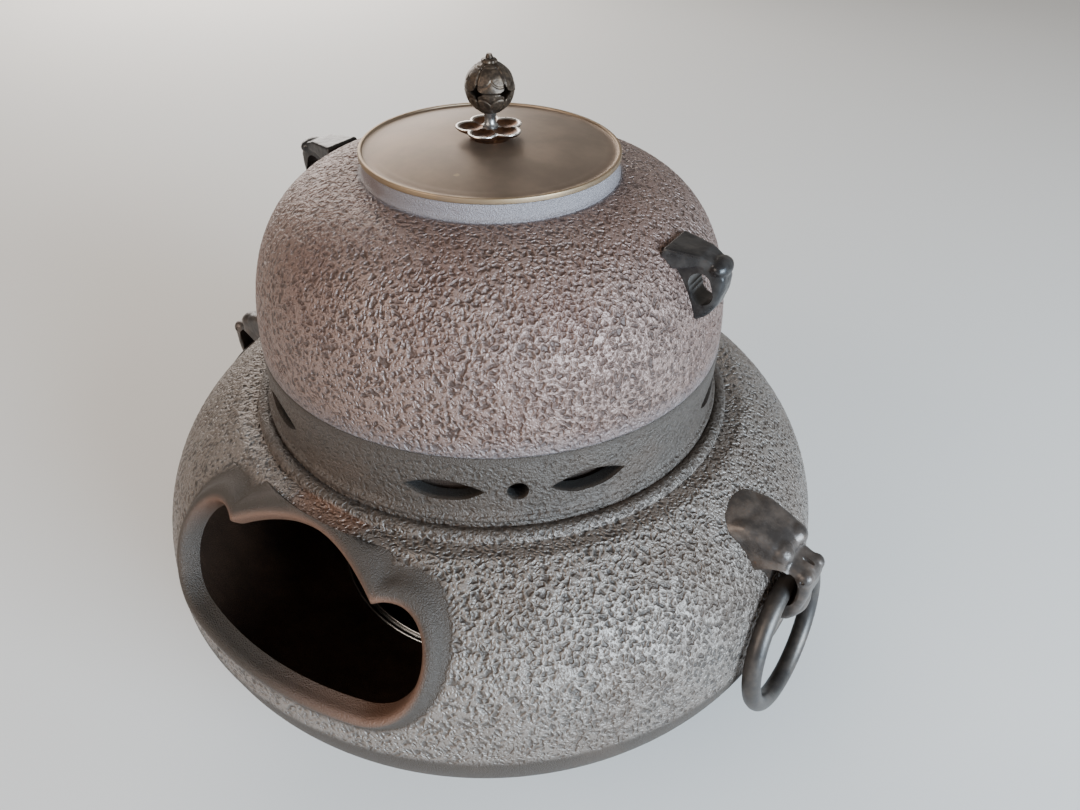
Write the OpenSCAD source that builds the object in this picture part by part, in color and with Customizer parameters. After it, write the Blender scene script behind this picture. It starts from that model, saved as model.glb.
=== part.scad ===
// Tea-ceremony kettle seated in its cast iron brazier, with a bronze lid.
// Z is up, the brazier stands on Z = 0 and its vertical axis is the Z axis.
// The fire window faces -Y and the lugs stand out along +X and -X.

/* [Brazier shell] */
// Largest radius of the brazier, at the mould parting line
belly_r = 182; // [170:1:220]
// Height of the parting line above the floor
belly_h = 97.5; // [90:1:120]
// Height from the parting line to the crown that the shoulder curve aims at
shoulder_rise = 93.5; // [80:0.5:115]
// Radius about which the shoulder curve turns
shoulder_core_r = 72; // [60:1:80]
// Squareness of the shoulder curve, 2 is a true ellipse
shoulder_power = 2.22; // [2:0.01:2.6]
// Step from the upper mould half in to the lower one
parting_step = 1.5; // [0.5:0.1:2.5]
// Depth of the hearth bowl below the parting line
hearth_drop = 72; // [60:1:84]
// Radius of the flat part of the hearth floor
hearth_flat_r = 60; // [50:1:70]
// Thickness of the cast wall
shell_wall = 6; // [4.5:0.1:8]

/* [Brazier neck] */
// Outer radius of the neck at its rim, where the kettle sits
neck_r = 116; // [105:0.5:125]
// Height of the neck from the foot of its ridge to its rim
neck_h = 40; // [33:0.5:48]
// Thickness of the neck wall
neck_wall = 7; // [5:0.5:9]
// How far the big ridge stands out from the neck
ridge_out = 9; // [6:0.5:10]
// Radius of the big ridge
ridge_round = 4; // [3:0.1:5]
// Radius of the thin ridge above it
bead_round = 1.9; // [1.2:0.1:2.5]
// Length of a lens-shaped slot
slot_l = 35.6; // [25:0.2:40]
// Height of a lens-shaped slot at its middle
slot_t = 11.3; // [8:0.1:14]
// Diameter of the round vent between two slots
vent_d = 9.5; // [6:0.1:12]
// Height of the slots and vents above the foot of the ridge
slot_h = 21.5; // [18:0.5:26]

/* [Fire window] */
// Distance of each end lobe from the middle
lobe_x = 50; // [35:1:56]
// Radius of each end lobe
lobe_r = 21.7; // [16:0.1:24]
// Height of the sill above the floor
sill_h = 123; // [110:1:128]
// Height of the crown of the middle arch above the floor
crown_h = 176.8; // [168:0.2:178]
// Half width of the middle arch where it meets the lobes
arch_half_w = 42; // [30:1:46]
// Radius of the middle arch
arch_r = 81.3; // [70:0.1:110]
// Width of the rolled lip round the window
lip_w = 5; // [3:0.1:7]
// How far the lip stands out from the shell
lip_out = 4; // [2:0.1:6]

/* [Feet] */
// Number of feet
foot_count = 3; // [3:1:4]
// Distance of the feet from the axis
foot_pitch_r = 98; // [80:1:110]
// Diameter of a foot where it meets the shell
foot_top_d = 40; // [28:1:46]
// Diameter of the flat end of a foot
foot_end_d = 15; // [8:0.5:20]
// Diameter of the tenon that holds a foot in the shell
foot_tenon_d = 11; // [8:0.5:14]

/* [Brazier lugs and rings] */
// Angle of each lug from the middle of the fire window
lug_a = 86; // [80:1:95]
// Height of the ring's bar in the lug eye above the floor
eye_h = 136.5; // [130:0.5:142]
// Width of the lug eye
eye_d = 14; // [13:0.1:16]
// Height of the lug eye above the ring's bar
eye_rise = 9; // [4:0.5:10]
// Metal between the eye and the front of the snout
snout_wall = 5.9; // [3:0.1:8]
// Width of the snout
snout_w = 20; // [16:0.5:22]
// Width of the head
head_w = 31; // [26:1:40]
// Centre-line radius of the hanging ring
ring_r = 36; // [32:0.5:42]
// Diameter of the ring's bar
ring_bar_d = 9.2; // [7:0.1:9.6]
// Opening angle left between the ends of the ring
ring_gap_a = 46; // [20:1:60]
// Angle that the resting ring leans outwards
ring_lean = 8; // [2:0.5:12]
// Thickness of the cheek that the ring leans on, at the eye
cheek_t = 0.9; // [0.6:0.1:3]
// Clearance between the resting ring and the cheeks
rest_gap = 0.35; // [0.3:0.05:1]
// Diameter of the screws that hold the lugs
screw_d = 5; // [4:0.5:6]
// Head diameter of those screws
screw_head_d = 9; // [7:0.5:10]
// Head thickness of those screws
screw_head_t = 3; // [2:0.5:4]
// Thickness of the washer under each head
washer_t = 1.2; // [0.8:0.1:2]
// Outer diameter of that washer
washer_d = 12; // [10:0.5:14]

/* [Kettle] */
// Height of the kettle shoulder above the seam on the neck
kettle_rise = 77.6; // [66:0.2:95]
// Radius about which the kettle shoulder turns
kettle_core_r = 51.3; // [44:0.1:54]
// Squareness of the kettle shoulder, 2 is a true ellipse
kettle_power = 2.61; // [2.2:0.01:3]
// Depth of the kettle bowl below the seam
bowl_drop = 95; // [80:1:110]
// Squareness of the kettle bowl
bowl_power = 2.4; // [2:0.1:3]
// Thickness of the kettle wall
kettle_wall = 4.5; // [3:0.1:6]
// Radial clearance of the kettle spigot in the neck
spigot_gap = 1.2; // [0.5:0.1:2]
// Radius of the kettle mouth
mouth_r = 51; // [44:0.5:54]
// Outer radius of the mouth collar
collar_r = 58.6; // [56:0.1:62]
// Height of the mouth collar above the kettle shoulder
collar_h = 7.8; // [5:0.1:12]

/* [Kettle lugs] */
// Height of the lug eye below the top of the kettle shoulder
lug_eye_down = 25.2; // [22:0.1:30]
// Diameter of the lug eye, which takes a lifting ring
lug_eye_d = 10; // [7:0.1:10.4]
// Distance of the eye's centre from the kettle surface
lug_eye_out = 6.6; // [6.4:0.1:8]
// Width of the lug's trunk
trunk_w = 16; // [12:0.5:20]
// Width of the flat brow of the lug
brow_w = 23; // [18:0.5:28]
// Metal between the eye and the front of the trunk
trunk_wall = 5; // [4:0.1:8]
// Diameter of the root that the kettle wall is cast around
root_d = 12; // [8:0.5:14]
// Depth of that root in the kettle wall
root_t = 2; // [1:0.1:2.5]

/* [Lid] */
// How far the lid's rim reaches past the collar
lid_over = 1; // [0:0.1:3]
// Thickness of the lid plate
lid_t = 1.8; // [1.6:0.1:3.5]
// Rise of the lid's dome above its rim
lid_dome = 4.2; // [3:0.1:7]
// Height of the raised lip at the lid's edge
lid_lip_h = 0.8; // [0.6:0.1:1.5]
// Width of that lip
lid_lip_w = 1.9; // [1.2:0.1:3]
// Clearance of the locating ring in the kettle mouth
lid_gap = 0.6; // [0.4:0.1:1.5]
// Depth of the locating ring below the lid's rim
lid_ring_h = 9; // [6:0.5:12]
// Thickness of the locating ring
lid_ring_t = 1.8; // [1.2:0.1:3]

/* [Knob] */
// Radius of the pierced ball
ball_r = 11; // [9:0.1:13]
// Thickness of the ball's two shells
ball_wall = 1; // [0.8:0.1:1.4]
// Number of petals, and of star holes between them
petal_count = 5; // [4:1:6]
// Half width of a star hole
star_a = 3.8; // [2.5:0.1:4.5]
// Height of the stem between the flower seat and the ball
stem_h = 5.9; // [4:0.1:9]
// Diameter of the stem
stem_d = 5.4; // [4.4:0.1:7]
// Radius of the flower seat
seat_r = 15.7; // [13:0.1:18]
// Height of the flower seat
seat_h = 5; // [4:0.1:7]
// Diameter of the pin that rivets the knob to the lid
pin_d = 2.6; // [2:0.1:3.2]
// Clearance of the pieces threaded on the pin
pin_gap = 0.05; // [0.02:0.01:0.1]
// Diameter of the washer on top of the ball
top_washer_d = 7.2; // [6:0.1:9]
// Thickness of the washer on top of the ball
top_washer_t = 1.6; // [1:0.1:2.5]
// Diameter of the washer under the lid
under_washer_d = 12; // [9:0.5:16]
// Thickness of the washer under the lid
under_washer_t = 1.4; // [1:0.1:2.5]
// Turn of the ball about its axis
ball_turn = 3; // [0:1:71]
// Turn of the flower seat about its axis
seat_turn = 15; // [0:1:71]

/* [Fire pan] */
// Radius of the pan at its rolled rim
pan_r = 93.5; // [80:0.5:100]
// Height of the pan
pan_h = 24; // [18:0.5:32]
// Thickness of the pan's sheet
pan_t = 1.6; // [1.2:0.1:2.5]
// Radius of the pan's flat base
pan_base_r = 55; // [45:1:58]

/* [Hidden] */
$fn = 96;

// Colours of the metals
iron = [0.36, 0.33, 0.31];
kettle_iron = [0.35, 0.30, 0.30];
lug_iron = [0.20, 0.18, 0.17];
bronze = [0.42, 0.38, 0.30];
knob_bronze = [0.38, 0.28, 0.20];
bright_steel = [0.75, 0.75, 0.74];

// Small breaks of sharp corners, and the overrun of cutting tools
corner_break = 0.9;
overrun = 1;

// Heights that follow from the driving sizes
hearth_h = belly_h - hearth_drop;
shoulder_top_a = 58;
ridge_h = belly_h + shoulder_rise * pow(sin(shoulder_top_a), 2 / shoulder_power);
seam_h = ridge_h + neck_h;
kettle_r = neck_r;
kettle_top_h = seam_h + kettle_rise;
rim_h = kettle_top_h + collar_h;
spigot_r = neck_r - neck_wall - spigot_gap;
lid_r = collar_r + lid_over;
lid_top_h = rim_h + lid_t + lid_dome;
seat_top_h = lid_top_h + seat_h;
ball_h = seat_top_h + stem_h + ball_r;

// Height and radius of the shell's parting line inside the lower mould half
lower_r = belly_r - parting_step;

// Points of a superellipse quadrant of half axes a and b about [x, y]
function quadrant(x, y, a, b, power, first, last, steps) = [
    for (i = [0 : steps])
        let (t = first + (last - first) * i / steps)
        [x + a * pow(abs(cos(t)), 2 / power), y + b * pow(abs(sin(t)), 2 / power) * sign(sin(t) + 1e-9)]
];

// Points of a round of radius r about [x, y]
function round_points(x, y, r, first, last, steps) = [
    for (i = [0 : steps])
        let (t = first + (last - first) * i / steps)
        [x + r * cos(t), y + r * sin(t)]
];

// Radius of a superellipse about [x, y] at height h
function quadrant_r(h, x, y, a, b, power) =
    x + a * pow(1 - pow(min(1, abs(h - y) / b), power), 1 / power);

// Outer radius of the upper shell and of the kettle shoulder at height h
function shell_r(h) = quadrant_r(h, shoulder_core_r, belly_h,
    belly_r - shoulder_core_r, shoulder_rise, shoulder_power);
kettle_belly_h = seam_h - 5;
function kettle_shoulder_r(h) = quadrant_r(h, kettle_core_r, kettle_belly_h,
    kettle_r - kettle_core_r, kettle_top_h - kettle_belly_h, kettle_power);

// Slope of those surfaces at height h, as the angle of the outward normal
function shell_normal_a(h) = atan2(shell_r(h - 1) - shell_r(h + 1), 2);
function kettle_normal_a(h) = atan2(kettle_shoulder_r(h - 1) - kettle_shoulder_r(h + 1), 2);

// ---------------------------------------------------------------- brazier

bead_h = ridge_h + 6.6;
neck_lean = 0.6;

// Outer profile of the shell, from the hearth floor up to the neck's rim
function shell_outer() = concat(
    [[0, hearth_h], [hearth_flat_r, hearth_h]],
    [for (p = quadrant(hearth_flat_r, -belly_h, lower_r - hearth_flat_r, hearth_drop, 2, 84, 0, 12))
        [p[0], -p[1]]],
    quadrant(shoulder_core_r, belly_h, belly_r - shoulder_core_r, shoulder_rise,
        shoulder_power, 0, shoulder_top_a, 16),
    round_points(neck_r + ridge_out - ridge_round, ridge_h, ridge_round, 0, 140, 7),
    round_points(neck_r + neck_lean, bead_h, bead_round, -60, 80, 5),
    [[neck_r + neck_lean, bead_h + bead_round + 0.4]],
    [[neck_r, seam_h - corner_break], [neck_r - corner_break, seam_h]]
);

// Inner profile of the shell, from the rim down to the hearth floor: it
// leaves a full wall below the flat top beside the neck, however wide that is
neck_bore_r = neck_r - neck_wall;
inner_top_h = ridge_h - shell_wall + 1;
inner_top_a = asin(pow((inner_top_h - belly_h) / (shoulder_rise - shell_wall), shoulder_power / 2));
function shell_inner() = concat(
    [[neck_bore_r + corner_break, seam_h], [neck_bore_r, seam_h - corner_break]],
    [[neck_bore_r, ridge_h + corner_break], [neck_r, inner_top_h]],
    quadrant(shoulder_core_r, belly_h, belly_r - shoulder_core_r - shell_wall,
        shoulder_rise - shell_wall, shoulder_power, inner_top_a, 0, 14),
    [for (p = quadrant(hearth_flat_r, -belly_h, lower_r - hearth_flat_r - shell_wall,
        hearth_drop - shell_wall, 2, 0, 84, 12)) [p[0], -p[1]]],
    [[hearth_flat_r, hearth_h + shell_wall], [0, hearth_h + shell_wall]]
);

// Shape of the fire window, grown outwards by g
module window_shape(g) {
    for (side = [-1, 1])
        translate([side * lobe_x, sill_h + lobe_r]) circle(lobe_r + g);
    translate([-lobe_x, sill_h - g])
        square([2 * lobe_x, lobe_r + g]);
    intersection() {
        translate([0, crown_h - arch_r]) circle(arch_r + g);
        translate([-arch_half_w - g, sill_h]) square([2 * (arch_half_w + g), crown_h - sill_h + 2 * g]);
    }
}

// The window's outline pushed through the front wall
module window_prism(g) {
    rotate([90, 0, 0])
        linear_extrude(belly_r + lip_out + overrun)
            window_shape(g);
}

// Lens of length l and height t
module lens(l, t) {
    lens_r = (l * l + t * t) / (4 * t);
    intersection_for (side = [-1, 1])
        translate([0, side * (lens_r - t / 2)]) circle(lens_r);
}

// Pushes a flat shape out through the neck wall at an angle from the front
module through_neck(a) {
    rotate([0, 0, a])
        translate([0, -neck_bore_r + 2 * overrun, ridge_h + slot_h])
            rotate([90, 0, 0])
                linear_extrude(neck_wall + ridge_out)
                    children();
}

// Angles of the vents: each has a slot on both sides of it
vent_angles = [-119, -40.5, 40.5, 119];
slot_side_a = 15.8;

module neck_openings() {
    for (a = vent_angles) {
        through_neck(a) circle(d = vent_d);
        for (side = [-1, 1])
            through_neck(a + side * slot_side_a) lens(slot_l, slot_t);
    }
    through_neck(180) lens(slot_l, slot_t);
}

// Places children along the shell's normal at height h, on the +X side
module on_shell(h) {
    translate([shell_r(h), 0, h])
        rotate([0, 90 - shell_normal_a(h), 0])
            children();
}

// Places children on the right and left, as mirror images
module both_sides() {
    for (side = [0, 1])
        mirror([side, 0, 0]) children();
}

// Turns a piece made on +X to the place of the right lug
module lug_place() {
    rotate([0, 0, lug_a - 90]) children();
}

// Heights of the two screws of a lug
upper_screw_h = eye_h + 20.5;
lower_screw_h = eye_h - 12.5;
screw_heights = [upper_screw_h, lower_screw_h];
screw_depth = 7;
head_seat = 0.8;

module screw_holes(d) {
    for (h = screw_heights)
        on_shell(h)
            translate([0, 0, -2 * shell_wall])
                cylinder(h = 2 * shell_wall + screw_depth, d = d);
}

// Flat seats for the washers, cut into the inner face of the shell
module washer_seats() {
    for (h = screw_heights)
        on_shell(h)
            translate([0, 0, -shell_wall + head_seat - 3 * overrun])
                mirror([0, 0, 1])
                    translate([0, 0, -3 * overrun])
                        cylinder(h = 2 * shell_wall, d = washer_d + 1);
}

foot_angles = [for (i = [0 : foot_count - 1]) 60 + 360 * i / foot_count];
foot_seat_h = belly_h - hearth_drop * sqrt(1 - pow((foot_pitch_r - hearth_flat_r)
    / (lower_r - hearth_flat_r), 2));
foot_floor_h = belly_h - (hearth_drop - shell_wall) * sqrt(1 - pow((foot_pitch_r - hearth_flat_r)
    / (lower_r - hearth_flat_r - shell_wall), 2));

module foot_place(a) {
    rotate([0, 0, a]) translate([0, -foot_pitch_r, 0]) children();
}

module brazier_body() color(iron)
    difference() {
        union() {
            rotate_extrude() polygon(concat(shell_outer(), shell_inner()));
            window_lip();
        }
        window_prism(0);
        neck_openings();
        both_sides() lug_place() {
            screw_holes(screw_d + 0.4);
            washer_seats();
        }
        for (a = foot_angles)
            foot_place(a) cylinder(h = belly_h, d = foot_tenon_d);
    }

// The rolled lip: a band of a thicker shell round the window
module window_lip() {
    difference() {
        intersection() {
            window_prism(lip_w);
            rotate_extrude() polygon(lip_band());
        }
        window_prism(0);
    }
}

// Profile of the band that the lip is cut from
lip_foot = shell_wall / 2;
function lip_band() = concat(
    quadrant(shoulder_core_r, belly_h, belly_r - shoulder_core_r - lip_foot,
        shoulder_rise - lip_foot, shoulder_power, 0, shoulder_top_a + 3, 10),
    [for (i = [10 : -1 : 0])
        let (t = (shoulder_top_a + 3) * i / 10)
        [shoulder_core_r + (belly_r + lip_out - shoulder_core_r) * pow(cos(t), 2 / shoulder_power),
         belly_h + (shoulder_rise + lip_out) * pow(sin(t), 2 / shoulder_power)]]
);

// A foot: a bell that meets the hearth bowl, with a tenon through the wall
tenon_head_t = 2.5;
tenon_head_d = foot_tenon_d + 6;

module foot(a) color(iron)
    union() {
        difference() {
            foot_place(a)
                rotate_extrude()
                    polygon(foot_profile());
            rotate_extrude() polygon(concat(hearth_below(), [[0, belly_h]]));
        }
        foot_place(a) {
            translate([0, 0, foot_seat_h - 3 * overrun])
                cylinder(h = foot_floor_h - foot_seat_h + 6 * overrun, d = foot_tenon_d);
            translate([0, 0, foot_floor_h + 3 * overrun])
                cylinder(h = tenon_head_t, d1 = tenon_head_d, d2 = foot_tenon_d);
        }
    }

// Outline of the hearth bowl's underside
function hearth_below() = concat(
    [[0, hearth_h], [hearth_flat_r, hearth_h]],
    [for (p = quadrant(hearth_flat_r, -belly_h, lower_r - hearth_flat_r, hearth_drop, 2, 84, 0, 12))
        [p[0], -p[1]]]
);

foot_bulge = 3;
function foot_profile() = concat(
    [[0, 0], [foot_end_d / 2, 0]],
    round_points(foot_end_d / 2, foot_bulge, foot_bulge, -60, 0, 3),
    [[foot_end_d / 2 + foot_bulge + 2, hearth_h / 2]],
    [[foot_top_d / 2, hearth_h], [foot_top_d / 2, foot_seat_h + 8], [0, foot_seat_h + 8]]
);

// --------------------------------------------------------- brazier lugs

ring_bar_r = ring_bar_d / 2;
eye_x = shell_r(eye_h) + cheek_t + rest_gap + ring_bar_r;
snout_x = eye_x + eye_d / 2 + snout_wall;

// Lean that brings the ring, a degrees round from its eye, clear of the shell
function lean_at(a) = let (drop = ring_r * (1 - cos(a)),
    wall_r = shell_r(max(eye_h - drop, belly_h)),
    wall_x = sqrt(pow(wall_r, 2) - pow(ring_r * sin(a), 2)))
    atan((wall_x + 2 * rest_gap + ring_bar_r - eye_x) / drop);
ring_tilt = max(ring_lean, max([for (a = [50:10:180]) lean_at(a)]));

// Side outline of the lug, as [radius, height]: crest, brow, snout, jaw
crest_h = eye_h + 35;
brow_h = eye_h + 25;
jaw_h = eye_h - 18.5;
lug_sink = 8;
function lug_outline() = [
    [shell_r(crest_h) - lug_sink, crest_h - 4],
    [shell_r(crest_h) - 1, crest_h],
    [eye_x - 22, crest_h - 0.5],
    [eye_x - 6, crest_h - 5],
    [eye_x - 1.5, brow_h + 1.5],
    [eye_x + 1.5, brow_h - 4.5],
    [eye_x + 6, brow_h - 5.5],
    [snout_x - 2, brow_h - 8],
    [snout_x, brow_h - 13],
    [snout_x, eye_h + 4],
    [snout_x - 1.2, eye_h - 1],
    [snout_x - 0.5, eye_h - 8],
    [snout_x - 2.5, eye_h - 14],
    [eye_x + 4, jaw_h],
    [eye_x - 2, jaw_h + 1],
    [shell_r(jaw_h) - lug_sink, jaw_h - 1],
];

// Plan outline of the lug, as [radius, y]: a broad crest narrowing to the snout
waist_x = eye_x - 2;
function lug_half_plan(head, snout) = [
    [shell_r(crest_h) - 2 * lug_sink, head / 2 - 2],
    [eye_x - 20, head / 2],
    [eye_x - 8, head / 2],
    [waist_x, head / 2 - 3],
    [waist_x + 3, snout / 2],
    [snout_x - 4, snout / 2],
    [snout_x + overrun, snout / 2 - 3],
];
function lug_plan(head, snout) = concat(
    lug_half_plan(head, snout),
    [for (i = [6 : -1 : 0]) let (p = lug_half_plan(head, snout)[i]) [p[0], -p[1]]]
);

// An outline in the X-Z plane, as thick as w along Y
module slab(points, w) {
    translate([0, w / 2, 0])
        rotate([90, 0, 0])
            linear_extrude(w)
                polygon(points);
}

// Face that the resting ring leans on, as the radius at height h
function cheek_x(h) = eye_x - (ring_bar_r + rest_gap) / cos(ring_tilt)
    + (eye_h - h) * tan(ring_tilt);

// Cheeks behind the ring's shoulders, between the shell and the leaning ring
cheek_top_h = eye_h + 12;
cheek_low_h = eye_h - 11;
function cheek_outline() = [
    [shell_r(eye_h) - lug_sink, cheek_top_h],
    [cheek_x(eye_h) - 0.4, cheek_top_h],
    [cheek_x(eye_h), eye_h],
    [cheek_x(cheek_low_h + 2), cheek_low_h + 2],
    [cheek_x(cheek_low_h + 2) - 1.5, cheek_low_h],
    [shell_r(eye_h) - lug_sink, cheek_low_h],
];

// Room for the ring's shoulders as they swing, outside the snout's sides
swing_r = ring_bar_d + 2;
module swing_room() {
    for (side = [-1, 1])
        translate([eye_x, side * snout_w / 2, eye_h])
            rotate([-90 * side, 0, 0]) cylinder(h = head_w, r = swing_r);
}

module brazier_lug_plain() {
    difference() {
        union() {
            difference() {
                intersection() {
                    slab(lug_outline(), head_w);
                    translate([0, 0, jaw_h - lug_sink])
                        linear_extrude(crest_h - jaw_h + 2 * lug_sink)
                            polygon(lug_plan(head_w, snout_w));
                }
                swing_room();
            }
            slab(cheek_outline(), head_w - 2);
        }
        // back face, shaped to the shell
        rotate_extrude() polygon(concat(shell_outer(), [[0, seam_h]]));
        // oval eye, with the ring's bar in its lower end
        for (h = [eye_h, eye_h + eye_rise])
            translate([eye_x, head_w, h])
                rotate([90, 0, 0]) cylinder(h = 2 * head_w, d = eye_d);
        translate([eye_x - eye_d / 2, -head_w, eye_h])
            cube([eye_d, 2 * head_w, eye_rise]);
        // blind holes for the screws
        screw_holes(screw_d);
    }
}

module brazier_lug_right() color(lug_iron)
    lug_place() brazier_lug_plain();

module brazier_lug_left() color(lug_iron)
    mirror([1, 0, 0]) lug_place() brazier_lug_plain();

// Each screw runs along the shell's normal, with its head on a washer inside
seat_depth = shell_wall - head_seat;
module lug_screws() color(lug_iron)
    both_sides() lug_place()
        for (h = screw_heights)
            on_shell(h) {
                translate([0, 0, -seat_depth - washer_t])
                    cylinder(h = seat_depth + washer_t + screw_depth - 1, d = screw_d);
                translate([0, 0, -seat_depth - washer_t - screw_head_t])
                    cylinder(h = screw_head_t, d = screw_head_d);
            }

module lug_washers() color(lug_iron)
    both_sides() lug_place()
        for (h = screw_heights)
            on_shell(h)
                translate([0, 0, -seat_depth - washer_t])
                    difference() {
                        cylinder(h = washer_t, d = washer_d);
                        translate([0, 0, -overrun])
                            cylinder(h = washer_t + 2 * overrun, d = screw_d + 0.1);
                    }

// Open ring leaning on the cheeks, with its gap just behind the snout
gap_start_a = 24;
module ring_plain() {
    translate([eye_x, 0, eye_h])
        rotate([0, 90 - ring_tilt, 0])
            translate([ring_r, 0, 0])
                rotate([0, 0, 180 - gap_start_a])
                    rotate_extrude(angle = 360 - ring_gap_a)
                        translate([ring_r, 0]) circle(d = ring_bar_d, $fn = 48);
}

module ring_right() color(lug_iron)
    lug_place() ring_plain();

module ring_left() color(lug_iron)
    mirror([1, 0, 0]) lug_place() ring_plain();

// -------------------------------------------------------------- fire pan

pan_h0 = hearth_h + shell_wall;
rim_bead_r = 1.6;
inner_bead_r = 1.1;
module fire_pan() color(bright_steel)
    union() {
        rotate_extrude()
            polygon([
                [0, pan_h0], [pan_base_r, pan_h0],
                [pan_r - 8, pan_h0 + pan_h - 4], [pan_r, pan_h0 + pan_h - 2 * rim_bead_r],
                [pan_r, pan_h0 + pan_h - rim_bead_r],
                [pan_r - 8.5, pan_h0 + pan_h - 4 + pan_t],
                [pan_base_r - 0.8, pan_h0 + pan_t], [0, pan_h0 + pan_t],
            ]);
        translate([0, 0, pan_h0 + pan_h - rim_bead_r])
            rotate_extrude() translate([pan_r, 0]) circle(rim_bead_r, $fn = 32);
        translate([0, 0, pan_h0 + pan_h - 2.2 * inner_bead_r])
            rotate_extrude() translate([pan_r - 4, 0]) circle(inner_bead_r, $fn = 32);
    }

// ---------------------------------------------------------------- kettle

collar_foot_h = kettle_top_h + 1.5;
function kettle_outer() = concat(
    [for (p = quadrant(0, -seam_h, spigot_r, bowl_drop, bowl_power, 90, 8, 18)) [p[0], -p[1]]],
    [[spigot_r, seam_h], [kettle_r - corner_break, seam_h], [kettle_r, seam_h + corner_break]],
    quadrant(kettle_core_r, kettle_belly_h, kettle_r - kettle_core_r,
        kettle_top_h - kettle_belly_h, kettle_power, 6, 86, 18),
    [[collar_r - 0.4, collar_foot_h], [collar_r, collar_foot_h + 2],
     [collar_r, rim_h - 0.6], [collar_r - 0.6, rim_h]]
);

function kettle_inner() = concat(
    [[mouth_r, rim_h], [mouth_r, kettle_top_h - kettle_wall + 0.5]],
    quadrant(kettle_core_r, kettle_belly_h, kettle_r - kettle_core_r - kettle_wall,
        kettle_top_h - kettle_belly_h - kettle_wall, kettle_power, 84, 6, 16),
    [for (p = quadrant(0, -seam_h, spigot_r - kettle_wall, bowl_drop - kettle_wall, bowl_power, 4, 90, 18))
        [p[0], -p[1]]]
);

lug_eye_h = kettle_top_h - lug_eye_down;
lug_eye_x = kettle_shoulder_r(lug_eye_h) + lug_eye_out;
trunk_x = lug_eye_x + lug_eye_d / 2 + trunk_wall;

// The root that holds a lug in the kettle wall, along the wall's normal
root_h = lug_eye_h + 7;
module lug_root() {
    translate([kettle_shoulder_r(root_h), 0, root_h])
        rotate([0, 90 - kettle_normal_a(root_h), 0])
            translate([0, 0, -root_t])
                cylinder(h = root_t + 3, d = root_d);
}

module kettle_body() color(kettle_iron)
    difference() {
        rotate_extrude() polygon(concat(kettle_outer(), kettle_inner()));
        both_sides() lug_root();
    }

function brow_outline() = [
    [lug_eye_x - 20, lug_eye_h + 11],
    [lug_eye_x - 17, lug_eye_h + 17.5],
    [lug_eye_x - 1, lug_eye_h + 16.5],
    [trunk_x - 3, lug_eye_h + 14],
    [trunk_x - 0.5, lug_eye_h + 9],
    [lug_eye_x - 2, lug_eye_h + 7],
    [lug_eye_x - 16, lug_eye_h + 4],
];

function trunk_outline() = [
    [lug_eye_x - 14, lug_eye_h + 8],
    [lug_eye_x, lug_eye_h + 11],
    [trunk_x - 0.5, lug_eye_h + 9],
    [trunk_x, lug_eye_h],
    [trunk_x - 2, lug_eye_h - 8],
    [trunk_x - 5.5, lug_eye_h - 14],
    [trunk_x - 10, lug_eye_h - 18],
    [lug_eye_x - 12, lug_eye_h - 16],
];

module kettle_lug_plain() {
    union() {
        difference() {
            union() {
                slab(brow_outline(), brow_w);
                slab(trunk_outline(), trunk_w);
            }
            rotate_extrude() polygon(concat(kettle_outer(), [[0, rim_h]]));
            translate([lug_eye_x, brow_w, lug_eye_h])
                rotate([90, 0, 0]) cylinder(h = 2 * brow_w, d = lug_eye_d);
        }
        intersection() {
            lug_root();
            rotate_extrude() polygon(concat(kettle_outer(), [[0, rim_h]]));
        }
    }
}

module kettle_lug_right() color(lug_iron)
    kettle_lug_plain();

module kettle_lug_left() color(lug_iron)
    mirror([1, 0, 0]) kettle_lug_plain();

// ------------------------------------------------------------------- lid

seat_base_r = 9;
lid_flat_r = seat_base_r + 1;
lid_channel_r = lid_r - lid_lip_w;
lid_dome_r = lid_channel_r - 4;

// Height of the lid's top at radius r inside the dome
function dome_h(r) = rim_h + lid_t
    + lid_dome * (1 - pow(max(0, r - lid_flat_r) / (lid_dome_r - lid_flat_r), 2));

module lid_plate() color(bronze)
    difference() {
        rotate_extrude()
            polygon(concat(
                [[0, rim_h], [lid_r - 0.5, rim_h], [lid_r, rim_h + 0.5]],
                [[lid_r, rim_h + lid_t + lid_lip_h - 0.5], [lid_r - 0.5, rim_h + lid_t + lid_lip_h]],
                [[lid_channel_r + 0.4, rim_h + lid_t + lid_lip_h], [lid_channel_r, rim_h + lid_t]],
                [for (i = [0 : 10]) let (r = lid_dome_r + (lid_flat_r - lid_dome_r) * i / 10)
                    [r, dome_h(r)]],
                [[0, lid_top_h]]
            ));
        // hollow of the underside
        translate([0, 0, rim_h])
            rotate_extrude()
                polygon(concat([[0, -overrun], [lid_dome_r - 8, -overrun]],
                    [for (i = [0 : 8]) let (r = (lid_dome_r - 8) * (1 - i / 8))
                        [r, (dome_h(r) - rim_h - lid_t) * 0.9]]));
        translate([0, 0, rim_h - overrun])
            cylinder(h = 2 * lid_t + lid_dome + 2 * overrun, d = pin_d);
    }

lid_under_h = rim_h + lid_dome * 0.9;

module lid_locating_ring() color(bronze)
    translate([0, 0, rim_h - lid_ring_h])
        difference() {
            cylinder(h = lid_ring_h, r = mouth_r - lid_gap);
            translate([0, 0, -overrun])
                cylinder(h = lid_ring_h + 2 * overrun, r = mouth_r - lid_gap - lid_ring_t);
        }

// ------------------------------------------------------------------ knob

module pin_hole() {
    cylinder(h = 2 * ball_h, d = pin_d + 2 * pin_gap);
}

petal_a = 360 / petal_count;
petal_pitch_r = seat_r * 0.56;
petal_r = seat_r - petal_pitch_r;
seat_foot_h = 2;

module flower(r) {
    for (i = [0 : petal_count - 1])
        rotate([0, 0, seat_turn - 90 + petal_a * i])
            translate([petal_pitch_r, 0]) circle(r);
}

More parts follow.
